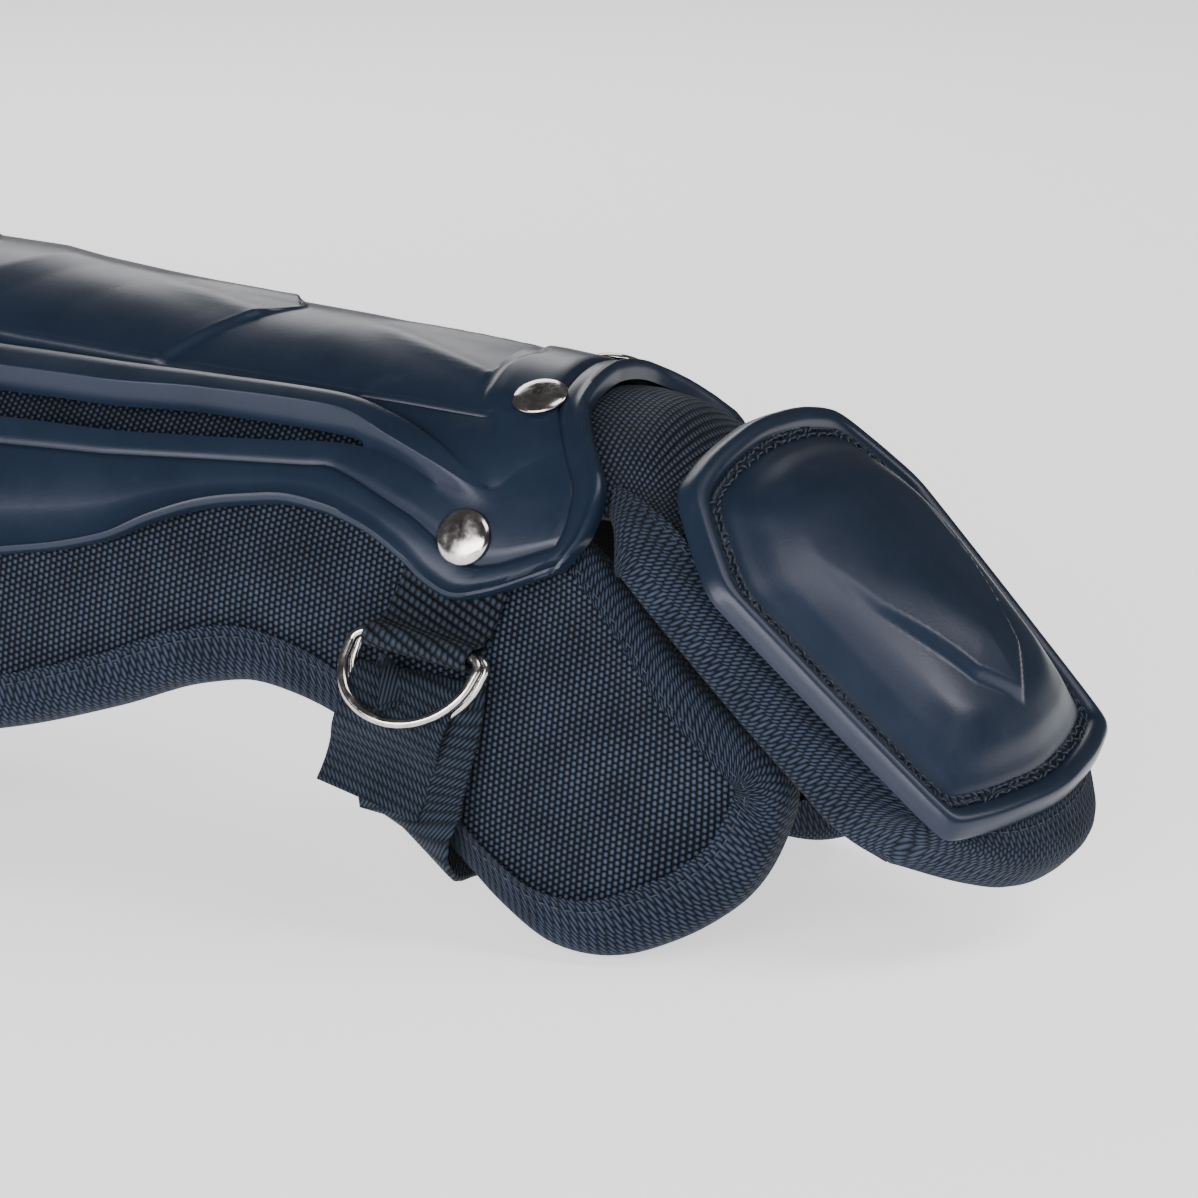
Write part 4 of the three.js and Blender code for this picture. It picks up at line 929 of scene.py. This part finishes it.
# Moulded plates: toe, knee and thigh
plates = {
    "cell": 1.3, "rings": 46, "soften": 11, "lastInset": 0.985,
    "edgeInsets": [
        0, 0.004, 0.012, 0.022, 0.036, 0.055, 0.075, 0.092, 0.104, 0.114, 0.124, 0.134, 0.146, 0.165, 0.19,
    ],
}
toePlateRows = [
    (-0.076, 0), (-0.055, 0.42), (-0.022, 0.68), (0.012, 0.765), (0.12, 0.89), (0.232, 1), (0.33, 0.985),
    (0.62, 0.93), (0.97, 0.85), (1.005, 0.8), (1.045, 0.5), (1.076, 0),
]
shield = {"rise": 1.9, "bulge": 1.0, "edge": 2.0, "from": 24, "full": 60}
shieldRows = [(10, 36), (25, 31), (45, 21.5), (61.5, 18), (77, 0)]      # along the plate, half its width


def bothSides(half):
    return half + [(a, -b) for a, b in half[-2:0:-1]]


def cutCorners(outline, times=2, share=0.2):
    for turn in range(times):
        done = []
        for k, here in enumerate(outline):
            there = outline[(k + 1) % len(outline)]
            for t in (share, 1 - share):
                done.append(tuple(mix(a, b, t) for a, b in zip(here, there)))
        outline = done
    return outline


def evenOutline(outline, cell):
    loop = outline + [outline[0]]
    lengths = [math.dist(a, b) for a, b in zip(loop, loop[1:])]
    total = sum(lengths)
    count = round(total / cell)
    points, k, passed = [], 0, 0.0
    for step in range(count):
        at = total * step / count
        while passed + lengths[k] < at:
            passed += lengths[k]
            k += 1
        points.append(tuple(mix(a, b, (at - passed) / lengths[k]) for a, b in zip(loop[k], loop[k + 1])))
    return points


def mouldedPlate(name, outline, middle, topRows, underRows, place, relief, node):
    points, faces = [], []
    count = len(outline)
    reach = range(-plates["soften"], plates["soften"] + 1)

    def softened(k):        # the outline's place averaged with its neighbours'
        return tuple(sum(outline[(k + m) % count][c] for m in reach) / len(reach) for c in (0, 1))

    soft = [softened(k) for k in range(count)]

    def ring(inset, height, extra):
        start = len(points)
        rounded = fade(0.14, 0.4, inset)
        for near, far in zip(outline, soft):
            a, b = mix(near[0], far[0], rounded), mix(near[1], far[1], rounded)
            u, v = mix(a, middle[0], inset), mix(b, middle[1], inset)
            points.append(place(u, v, height + (relief(u, v) * extra if relief else 0)))
        return start

    edge, rings = plates["edgeInsets"], plates["rings"]
    insets = edge + [mix(edge[-1], plates["lastInset"], k / rings) for k in range(1, rings + 1)]
    tops = [ring(t, readTable(topRows, 1, t), fade(0.2, 0.35, t)) for t in insets]
    unders = [ring(t, readTable(underRows, 1, t), fade(0.2, 0.4, t)) for t in insets[::3]]
    for rings, flip in ((tops, False), (unders, True)):
        for low, high in zip(rings, rings[1:]):
            for k in range(count):
                n = (k + 1) % count
                first, second = (n, k) if flip else (k, n)
                faces.append((low + first, low + second, high + second, high + first))
        centre = len(points)
        height = readTable(underRows if flip else topRows, 1, 1)
        points.append(place(*middle, height + (relief(*middle) if relief else 0)))
        faces += [(rings[-1] + k, rings[-1] + (k + 1) % count, centre) for k in range(count)]
    for k in range(count):
        n = (k + 1) % count
        faces.append((tops[0] + k, unders[0] + k, unders[0] + n, tops[0] + n))
    return ready(makePiece(name, points, faces, [navyPlastic], sharp=55), "navy_plastic", node)


def shieldRelief(a, b):     # a raised shield whose point is toward the toes and whose top fades out
    inside = readLine(shieldRows, 1, a) - abs(b)
    for (a0, wide0), (a1, wide1) in zip(shieldRows, shieldRows[1:]):
        slope = (wide1 - wide0) / (a1 - a0)
        reach = wide0 + slope * (a - a0) - abs(b)
        inside = min(inside, reach / math.sqrt(1 + slope * slope)) if reach < inside + 6 else inside
    ledge = min(max(inside / shield["edge"] + 0.3, 0), 1)
    rise = shield["rise"] * ledge + shield["bulge"] * fade(1, 13, inside)
    return rise * fade(shield["from"], shield["full"], a)


def toePlate():
    half = [(a * flap["plateLength"], b * flap["width"] / 2) for a, b in toePlateRows]
    seat = pad["tapeGap"] + pad["tape"] + pad["gap"]
    rim, dome, bead = seat + shell["wall"], flap["dome"], 1.6
    top = [
        (0, seat + 0.6), (0.008, rim - 0.9), (0.022, rim + 0.9), (0.04, rim + bead),
        (0.075, rim + bead * 0.9),
        (0.1, rim + 0.5), (0.116, rim - 0.7), (0.15, rim - 0.8), (0.168, rim + 0.3), (0.2, rim + 1.2),
        (0.3, rim + dome * 0.5), (0.45, rim + dome * 0.83), (0.7, rim + dome * 0.97), (1, rim + dome),
    ]
    under = [
        (0, seat), (0.2, seat), (0.34, seat + dome * 0.48), (0.5, seat + dome * 0.76),
        (1, seat + dome * 0.9),
    ]
    outline = evenOutline(cutCorners(bothSides(half)), plates["cell"])
    middle = (flap["plateLength"] * 0.5, 0)
    mouldedPlate("toePlate", outline, middle, top, under, onFlap, shieldRelief, "toe_plate")
    for inset, lift in ((0.122, -0.35), (0.148, -0.3)):
        line = []
        for a, b in outline + outline[:1]:
            u, v = mix(a, middle[0], inset), mix(b, middle[1], inset)
            line.append((onFlap(u, v, rim + lift), (onFlap(u, v, 1) - onFlap(u, v, 0)).normalized()))
        stitchLines.append({"line": line, "heavy": True})


def roundedHalf(length, reach, corner, turns=8):
    half = [(-length / 2, (reach - corner) * k / 4) for k in range(4)]
    for k in range(turns + 1):
        angle = math.pi / 2 * k / turns
        half.append((-length / 2 + corner * (1 - math.cos(angle)), reach - corner * (1 - math.sin(angle))))
    half.append((0, reach))
    return half + [(-a, b) for a, b in half[-2::-1]]


knee = {"capLength": 134, "capReach": 69.98, "capDome": 17, "over": 14, "plateLength": 78, "plateReach": 54,
        "plateDome": 6, "ridge": 1.6}
kneeCapMiddle = -leg["shinLength"] - knee["capLength"] / 2 + knee["over"]
thighPlateMiddle = kneeCapMiddle - knee["capLength"] / 2 - knee["plateLength"] / 2 - 4


def onKnee(along, across, height):
    x = kneeCapMiddle + along
    high = shell["seat"] + shell["wall"] + 1.5 + pad["gap"] * 2
    seat = mix(shell["seat"], high, fade(-leg["shinLength"] - 40, -leg["shinLength"] - 4, x))
    return onLeg(x, across, seat + height)


def onThigh(along, across, height):
    return onLeg(thighPlateMiddle + along, across, shell["seat"] + height)


def kneeRelief(a, b):       # two chevrons that echo the shin's panels
    value = 0
    for at in (-24, 16):
        past = a - at + abs(b) * 0.55
        value += knee["ridge"] * fade(-0.9, 0.9, past) * fade(26, 4, past)
    return value * fade(44, 36, abs(b))


def thighRelief(a, b):
    past = a + 6 + abs(b) * 0.5
    return knee["ridge"] * 0.7 * fade(-0.9, 0.9, past) * fade(24, 2, past) * fade(34, 28, abs(b))


def kneeAndThighPlates():
    wall, bead, dome = shell["wall"], 1.5, knee["capDome"]
    top = [
        (0, 0.6), (0.006, wall - 0.6), (0.016, wall + 0.9), (0.03, wall + bead), (0.07, wall + bead * 0.9),
        (0.1, wall + 0.3), (0.125, wall), (0.3, wall + dome * 0.5), (0.5, wall + dome * 0.82),
        (0.75, wall + dome * 0.95), (1, wall + dome),
    ]
    under = [(0, 0), (0.13, 0), (0.33, dome * 0.46), (0.6, dome * 0.8), (1, dome * 0.92)]
    half = roundedHalf(knee["capLength"], knee["capReach"], knee["capLength"] * 0.27)
    outline = evenOutline(bothSides(half), plates["cell"] * 1.6)
    mouldedPlate("kneeCap", outline, (0, 0), top, under, onKnee, kneeRelief, "knee_cap")
    dome = knee["plateDome"]
    top = [
        (0, 0.6), (0.008, wall - 0.6), (0.02, wall + 0.9), (0.04, wall + bead), (0.09, wall + bead * 0.9),
        (0.12, wall + 0.3), (0.15, wall), (0.4, wall + dome * 0.75), (0.7, wall + dome * 0.94),
        (1, wall + dome),
    ]
    under = [(0, 0), (0.16, 0), (0.44, dome * 0.62), (1, dome * 0.85)]
    half = roundedHalf(knee["plateLength"], knee["plateReach"], knee["plateLength"] * 0.3)
    outline = evenOutline(bothSides(half), plates["cell"] * 1.4)
    mouldedPlate("thighPlate", outline, (0, 0), top, under, onThigh, thighRelief, "thigh_plate")


toePlate()
kneeAndThighPlates()


# Straps, webbing and rings
strap = {
    "width": 25, "thickness": 1.4, "thinEdge": 0.55, "span": 2.2, "webbingLayer": 1.05,
    "wire": 1.35, "seenWire": 1.15, "wireSides": 14,
    "ringInside": 27.5, "slant": math.radians(15), "along": -17,
    "around": 75, "clear": 6.5, "calfAlong": -186, "thighAlong": -447,
    "overSlant": 0.6, "underBow": 2.7, "liftRun": 5, "tailReach": 16, "foldReach": 9, "foldLift": 0.4,
}
strapMiddle = pad["gap"] + strap["thickness"] / 2
overTape = pad["tapeGap"] + pad["tape"] + pad["gap"] + strap["thickness"] / 2


def strapStop(x, s, off):
    return (*onLeg(x, s, off), *(onLeg(x + 5, s, off) - onLeg(x - 5, s, off)))


def ribbonSection(edge, half, thin, full=1):    # round a flat section: share of the width, and height
    shares = [-1, -edge, -0.6, -0.2, 0.2, 0.6, edge, 1]
    return [
        (share, half * side * (thin if abs(share) == 1 else full))
        for side in (1, -1) for share in shares[::side]
    ]


def makeStrap(name, route, node):
    fine = refineRow(route, stepsBetween(route, strap["span"]))
    section = ribbonSection(0.96, strap["thickness"] / 2, strap["thinEdge"])
    points, uvs = [], []
    travelled = 0.0
    for k, station in enumerate(fine):
        here = Vector(station[:3])
        before, after = Vector(fine[max(k - 1, 0)][:3]), Vector(fine[min(k + 1, len(fine) - 1)][:3])
        if k:
            travelled += (here - before).length
        tangent = (after - before).normalized()
        wide = Vector(station[3:6])
        wide = (wide - tangent * wide.dot(tangent)).normalized()
        up = tangent.cross(wide).normalized()
        for share, height in section:
            points.append(here + wide * share * strap["width"] / 2 + up * height)
            uvs.append((travelled * 0.001, share * strap["width"] * 0.0005))
    faces = bandFaces(len(fine), len(section))
    piece = makePiece(name, points, faces, [cloth["ribbedStrap"]], uvs, sharp=60)
    return ready(piece, "navy_webbing", node)


def underLeg(x, edge, run=(1, 0, 0)):
    foot = onLeg(x, -edge, overTape + (strap["overSlant"] if run[2] else 0))
    low, bow = foot.z - strap["clear"] - strap["thickness"], strap["underBow"]
    half = [
        (foot.y, foot.z), (foot.y * 1.005, mix(foot.z, low, 0.55)), (foot.y * 0.95, low),
        (foot.y * 0.8, low - bow * 0.55), (foot.y * 0.4, low - bow * 0.9),
    ]

    def stop(y, z, k):
        return (x, y, z, run[0], math.copysign(run[1], run[1] * y) if k < 2 else 0, run[2])

    near = [stop(y, z, k) for k, (y, z) in enumerate(half)]
    far = [stop(-y, z, k) for k, (y, z) in enumerate(half)][::-1]
    return near + [stop(0, low - bow, len(half))] + far


def downSide(x, start, clear, side):
    route = [strapStop(x, side * mix(start, clear, k / 4), strapMiddle) for k in range(5)]
    return route + [strapStop(x, side * (clear + strap["liftRun"]), overTape)]


def loopStrap(name, x, start, edge, node):
    clear = edge - pad["lap"] - strap["liftRun"] - 1
    near, far = downSide(x, start, clear, -1), downSide(x, start, clear, 1)[::-1]
    makeStrap(name, near + underLeg(x, edge) + far, node)


def wingEdgeAt(x):
    nearby = padRows[7:11]
    edge = [(-along * leg["shinLength"], around * leg["wingReach"]) for along, around, crown in nearby]
    return readLine(edge, 1, -x)


def ankleStrap():
    tailTop = overTape + 2 * strap["wire"] + 2 * pad["gap"] + strap["thickness"]
    tailLow = overTape + strap["thickness"] + pad["gap"]
    along, around = strap["along"], strap["around"]
    ringEnd = around + strap["ringInside"] / 2 + 2 * strap["wire"] + 2
    tailEnd = ringEnd + strap["tailReach"]

    def slide(s):
        return along - (s - around) * math.tan(strap["slant"])

    tail = [
        (tailEnd, tailLow + 0.6), (tailEnd - 5, tailLow), (ringEnd + 6, tailLow + 0.6),
        (ringEnd + 1, tailTop), (ringEnd - 5, tailTop + 0.2), (around + strap["foldReach"] + 3, tailTop),
    ]
    route = [strapStop(slide(s), -s, off) for s, off in tail]
    foldAround = around + strap["foldReach"]
    foldRadius, foldMiddle = (tailTop - strapMiddle) / 2, (tailTop + strapMiddle) / 2
    for angle in (60, 20, -20, -60):
        turn = math.radians(angle)
        s = foldAround - foldRadius * math.cos(turn)
        route.append(strapStop(slide(s), -s, foldMiddle + foldRadius * math.sin(turn)))
    route.append(strapStop(slide(foldAround + 1), -(foldAround + 3.5), strapMiddle + strap["foldLift"]))
    route.append(strapStop(along, -(ringEnd - 8), overTape))
    run = onLeg(along + 5, wingEdgeAt(along + 5), 0) - onLeg(along - 5, wingEdgeAt(along - 5), 0)
    route += underLeg(along, wingEdgeAt(along), tuple(run))
    route += downSide(along, shell["lobeReach"] * 0.82, ringEnd - 10, 1)[::-1]
    makeStrap("ankleStrap", route, "ankle_strap")


def onRing(across, along, off):
    slant = strap["slant"]
    x = strap["along"] + across * math.cos(slant) - along * math.sin(slant)
    s = strap["around"] + across * math.sin(slant) * 0.3 + along * math.cos(slant)
    return onLeg(x, -s, off)


ringLow = pad["gap"] * 3 + strap["thickness"] + strap["wire"]
ringHigh = ringLow + 2 * strap["wire"] + pad["gap"] * 3
lowerLift = overTape - strapMiddle
upperLift = lowerLift + strap["thickness"] + pad["gap"] * 4


def dRing(name, middle, lift, node):
    half = strap["ringInside"] / 2 + strap["wire"]
    path = [(-half * 0.9, 0), (-half * 0.4, 0), (half * 0.4, 0), (half * 0.9, 0), (half, 1.6)]
    for k in range(17):
        angle = math.pi * k / 16
        path.append((half * math.cos(angle), 4 + half * 0.9 * math.sin(angle)))
    path.append((-half, 1.6))
    reach = 4 + half * 0.9
    fine = refineRow([(a, b, 0) for a, b in path], [3] * len(path), closed=True)
    sides = strap["wireSides"]
    points = []
    for k, (a, b, _) in enumerate(fine):
        before, after = fine[k - 1], fine[(k + 1) % len(fine)]
        run = Vector((after[0] - before[0], after[1] - before[1])).normalized()
        for m in range(sides):
            angle = math.tau * m / sides
            out, up = strap["seenWire"] * math.cos(angle), strap["seenWire"] * math.sin(angle)
            points.append(onRing(a + run.y * out, b - run.x * out, middle + lift * b / reach + up))
    piece = makePiece(name, points, bandFaces(len(fine), sides, True), [polishedNickel])
    return ready(piece, "nickel", node)


def ringWebbing():
    layer = strap["webbingLayer"]
    hole = strap["wire"] + pad["gap"] * 1.5
    out = hole + layer / 2
    tail = -(strap["around"] - shell["lobeReach"] * 0.8)
    top = shell["seat"] - pad["gap"] * 2 - 0.45
    back = 1 - (strap["around"] - shell["lobeReach"])
    path = [
        (tail, 0.8), (-6, 0.8), (0, 0.95), (out * 0.8, ringLow - out * 0.45), (out, ringLow + 0.3),
        (out, ringHigh),
    ]
    for turn in (40, 75, 110, 145):
        angle = math.radians(turn)
        path.append((out * math.cos(angle), ringHigh + out * math.sin(angle)))
    path += [(-out * 1.35, ringLow + 0.6), (-4.4, 3.0), (back, top), (tail, top)]
    fine = refineRow([(a, b, 0) for a, b in path], [3] * (len(path) - 1))
    points, uvs = [], []
    travelled = 0.0
    section = ribbonSection(0.95, layer / 2, 0.5, 0.96)
    for k, (a, off, _) in enumerate(fine):
        before, after = fine[max(k - 1, 0)], fine[min(k + 1, len(fine) - 1)]
        run = Vector((after[0] - before[0], after[1] - before[1])).normalized()
        if k:
            travelled += math.dist(fine[k - 1][:2], (a, off))
        for share, height in section:
            points.append(onRing(share * strap["width"] / 2, a - run.y * height, off + run.x * height))
            uvs.append((travelled * 0.001, share * strap["width"] * 0.0005))
    faces = bandFaces(len(fine), len(section))
    piece = makePiece("ringWebbing", points, faces, [cloth["knobbyWebbing"]], uvs, sharp=60)
    ready(piece, "navy_webbing", "ring_webbing")


ankleStrap()
loopStrap("calfStrap", strap["calfAlong"], shell["lobeReach"] * 1.12, leg["wingReach"] * 0.9, "calf_strap")
loopStrap("thighStrap", strap["thighAlong"], knee["plateReach"] * 0.85, kneeWing * 0.69, "thigh_strap")
ringWebbing()
dRing("dRingLower", ringLow, lowerLift, "d_ring_lower")
dRing("dRingUpper", ringHigh, upperLift, "d_ring_upper")


# Rivets and stitches: one small piece set along marks by Geometry Nodes
def scatterTree():
    tree = bpy.data.node_groups.new("setAlongMarks", "GeometryNodeTree")
    face = tree.interface
    inputs = (
        ("Marks", "Geometry"), ("Piece", "Object"), ("Spacing", "Float"), ("Tilt", "Float"),
        ("Loose", "Float"), ("Seed", "Int"), ("Finish", "Material"),
    )
    for title, kind in inputs:
        face.new_socket(title, in_out="INPUT", socket_type="NodeSocket" + kind)
    face.new_socket("Set pieces", in_out="OUTPUT", socket_type="NodeSocketGeometry")
    add, join = nodesOf(tree)
    given, made = add("NodeGroupInput"), add("NodeGroupOutput")
    curve = add("GeometryNodeMeshToCurve", {0: given.outputs["Marks"]}).outputs[0]
    step = {"Curve": curve, "Length": given.outputs["Spacing"]}
    even = add("GeometryNodeResampleCurve", step, mode="LENGTH")
    tangent = add("GeometryNodeInputTangent").outputs[0]
    up = add("GeometryNodeInputNamedAttribute", {"Name": "faceUp"}, data_type="FLOAT_VECTOR")
    along = add("FunctionNodeAlignRotationToVector", {"Vector": tangent}, axis="X")
    first = {"Rotation": along.outputs[0]}
    upright = add("FunctionNodeAlignRotationToVector", first, axis="Z", pivot_axis="X")
    join(up.outputs["Attribute"], upright.inputs["Vector"])
    number = add("GeometryNodeInputIndex").outputs[0]       # every other piece leans the other way
    odd = add("ShaderNodeMath", {0: number, 1: 2.0}, operation="MODULO").outputs[0]
    swing = add("ShaderNodeMath", {0: odd, 1: 2.0, 2: -1.0}, operation="MULTIPLY_ADD").outputs[0]
    tilt = add("ShaderNodeMath", {0: swing, 1: given.outputs["Tilt"]}, operation="MULTIPLY").outputs[0]
    draw = {2: -1.0, 3: 1.0, "Seed": given.outputs["Seed"]}
    jitter = add("FunctionNodeRandomValue", draw, data_type="FLOAT")
    loose = {0: jitter.outputs[1], 1: given.outputs["Loose"], 2: tilt}
    spread = add("ShaderNodeMath", loose, operation="MULTIPLY_ADD").outputs[0]
    turn = add("ShaderNodeCombineXYZ", {"Z": spread}).outputs[0]
    turned = add("FunctionNodeRotateRotation", {0: upright.outputs[0], 1: turn}, rotation_space="LOCAL")
    source = add("GeometryNodeObjectInfo", {"Object": given.outputs["Piece"]})
    place = add("GeometryNodeInstanceOnPoints", {"Points": even.outputs[0], "Rotation": turned.outputs[0]})
    join(source.outputs["Geometry"], place.inputs["Instance"])
    real = add("GeometryNodeRealizeInstances", {0: place.outputs[0]}).outputs[0]
    finish = add("GeometryNodeSetMaterial", {"Geometry": real, "Material": given.outputs["Finish"]})
    join(finish.outputs[0], made.inputs[0])
    return tree


def seedPiece(name, points, faces):
    mesh = bpy.data.meshes.new(name)
    mesh.from_pydata([Vector(p) * 0.001 for p in points], [], faces)
    mesh.shade_smooth()
    piece = bpy.data.objects.new(name, mesh)
    bpy.context.scene.collection.objects.link(piece)
    return piece


def ringedFaces(rings, sides):      # a closed skin over rings of points, capped at both ends
    faces = []
    for i in range(rings - 1):
        for k in range(sides):
            n = (k + 1) % sides
            faces.append((i * sides + k, i * sides + n, (i + 1) * sides + n, (i + 1) * sides + k))
    faces.append(tuple(range(sides))[::-1])
    faces.append(tuple((rings - 1) * sides + k for k in range(sides)))
    return faces


def stitchSeed(name, length, radius, arch):
    rings, sides = 6, 6
    points = []
    for i in range(rings + 1):
        t = i / rings
        wide = radius * max(math.sin(math.pi * min(max(t, 0.06), 0.94)), 0.2) ** 0.4
        for k in range(sides):
            angle = math.tau * k / sides
            height = arch * math.sin(math.pi * t) - radius * 0.4
            up = height + wide * 0.8 * math.sin(angle)
            points.append((length * (t - 0.5), wide * math.cos(angle), up))
    return seedPiece(name, points, ringedFaces(rings + 1, sides))


marksTree = scatterTree()


def setAlong(name, lines, seed, settings, finish):
    points, edges, ups = [], [], []
    for line in lines:
        start = len(points)
        points += [toFrame(p) for p, up in line]
        ups += [up for p, up in line]
        edges += [(start + k, start + k + 1) for k in range(len(line) - 1)]
    mesh = bpy.data.meshes.new(name + "Marks")
    mesh.from_pydata(points, edges, [])
    layer = mesh.attributes.new("faceUp", "FLOAT_VECTOR", "POINT")
    layer.data.foreach_set("vector", [c for up in ups for c in up])
    marks = bpy.data.objects.new(name + "Marks", mesh)
    bpy.context.scene.collection.objects.link(marks)
    modifier = marks.modifiers.new("set", "NODES")
    modifier.node_group = marksTree
    values = {"Piece": seed, "Finish": finish, **settings}
    for item in marksTree.interface.items_tree:
        if item.in_out == "INPUT" and item.name in values:
            modifier[item.identifier] = values[item.name]
    bpy.context.view_layer.update()
    seen = marks.evaluated_get(bpy.context.evaluated_depsgraph_get())
    made = bpy.data.meshes.new_from_object(seen)
    made.name = name
    for polygon in made.polygons:
        polygon.use_smooth = True
    piece = bpy.data.objects.new(name, made)
    bpy.context.scene.collection.objects.link(piece)
    bpy.data.objects.remove(marks)
    bpy.data.objects.remove(seed)
    return piece


stitchLooks = {
    "hemStitches": {
        "length": 2.1, "radius": 0.2, "arch": 0.2,
        "set": {"Spacing": 0.0032, "Tilt": 0.0, "Loose": 0.06, "Seed": 3},
    },
    "plateStitches": {
        "length": 2.3, "radius": 0.3, "arch": 0.6,
        "set": {"Spacing": 0.0021, "Tilt": 0.25, "Loose": 0.8, "Seed": 8},
    },
}


def stitches():
    plain = [row["line"] for row in stitchLines if not row.get("heavy")]
    heavy = [row["line"] for row in stitchLines if row.get("heavy")]
    for name, lines in (("hemStitches", plain), ("plateStitches", heavy)):
        look = stitchLooks[name]
        seed = stitchSeed(name + "Seed", look["length"], look["radius"], look["arch"])
        piece = setAlong(name, lines, seed, look["set"], navyThread)
        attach(piece, "root")


rivet = {"radius": 6.2, "height": 1.8, "sides": 40, "lift": 0.25}


def rivetSeed():
    profile = [
        (0.93, 0), (1, 0.08), (1, 0.2), (0.97, 0.34), (0.88, 0.58), (0.74, 0.78), (0.58, 0.9), (0.4, 0.97),
        (0.2, 1),
    ]
    points = []
    radius, sides = rivet["radius"], rivet["sides"]
    for across, up in profile:
        for k in range(sides):
            angle = math.tau * k / sides
            x, y = across * radius * math.cos(angle), across * radius * math.sin(angle)
            points.append((x, y, up * rivet["height"]))
    return seedPiece("rivetSeed", points, ringedFaces(len(profile), sides))


def rivets():
    face = shell["seat"] + shell["wall"]
    lines = []
    for x, s, height in ((-4.4, 18.5, face + 0.6), (-10.7, 51.4, face), (strap["calfAlong"], 66, face)):
        for side in (-1, 1):
            at, up = onLeg(x, side * s, height + rivet["lift"]), upAt(x, s)
            up = Vector((up.x, up.y * side, up.z))
            lines.append([(at, up), (at + Vector((0.02, 0, 0)), up)])
    settings = {"Spacing": 1.0, "Tilt": 0.0, "Loose": 0.0, "Seed": 1}
    piece = setAlong("rivetHeads", lines, rivetSeed(), settings, polishedNickel)
    pairs = ("ankle_rivet_top", "ankle_rivet_side", "calf_rivet")
    ready(piece, "nickel", *[f"{pair}_{side}" for pair in pairs for side in ("near", "far")])


stitches()
rivets()


# Floor, light and camera
lamps = {
    "floor glow": 1.1, "sky": 0.08,
    "boxes": {
        "behind": {
            "at": (-0.6, 1.0, 0.78), "toward": (0.1, 0.0, 0.08), "size": (0.95, 0.6), "power": 6
        },
        "front": {
            "at": (0.3, -1.5, 0.46), "toward": (0.15, 0.0, 0.06), "size": (1.65, 0.6), "power": 31
        },
        "right": {
            "at": (0.96, -0.1, 1.11), "toward": (0.27, 0.0, 0.07), "size": (0.75, 0.6), "power": 6
        },
        "end": {
            "at": (1.2, 0.48, 0.85), "toward": (0.27, 0.0, 0.05), "size": (0.4, 0.4), "power": 4
        },
    },
}


def floor():
    mesh = bpy.data.meshes.new("floor")
    mesh.from_pydata([(-6, -6, 0), (6, -6, 0), (6, 6, 0), (-6, 6, 0)], [], [(0, 1, 2, 3)])
    piece = bpy.data.objects.new("floor", mesh)
    bpy.context.scene.collection.objects.link(piece)
    material, add, join, shader = startMaterial("paleFloor")
    shader.inputs["Base Color"].default_value = (0.9, 0.9, 0.9, 1)
    shader.inputs["Roughness"].default_value = 1.0
    shader.inputs["Specular IOR Level"].default_value = 0.0
    shader.inputs["Emission Color"].default_value = (1, 1, 1, 1)
    shader.inputs["Emission Strength"].default_value = lamps["floor glow"]
    mesh.materials.append(material)


view = {"target": toFrame((0, 0, 60.6)), "back": (0.41179, -0.88308, 0.22495), "away": 1.4, "lens": 193.52}


def lights():
    world = bpy.data.worlds.new("studio")
    world.use_nodes = True
    world.node_tree.nodes["Background"].inputs[0].default_value = (1, 1, 1, 1)
    world.node_tree.nodes["Background"].inputs[1].default_value = lamps["sky"]
    bpy.context.scene.world = world
    for name, look in lamps["boxes"].items():
        data = bpy.data.lights.new(name, "AREA")
        data.shape, data.energy = "RECTANGLE", look["power"]
        data.size, data.size_y = look["size"]
        lamp = bpy.data.objects.new(name, data)
        lamp.location = look["at"]
        back = Vector(look["at"]) - Vector(look["toward"])
        lamp.rotation_euler = back.to_track_quat("Z", "Y").to_euler()
        bpy.context.scene.collection.objects.link(lamp)


def camera():
    data = bpy.data.cameras.new("camera")
    data.lens, data.sensor_width, data.clip_end = view["lens"], 36, 50
    eye = bpy.data.objects.new("camera", data)
    back = Vector(view["back"]).normalized()
    eye.location = Vector(view["target"]) + back * view["away"]
    eye.rotation_euler = back.to_track_quat("Z", "Y").to_euler()
    bpy.context.scene.collection.objects.link(eye)
    bpy.context.scene.camera = eye


floor()
lights()
camera()
bpy.context.view_layer.update()
print("scene ready")
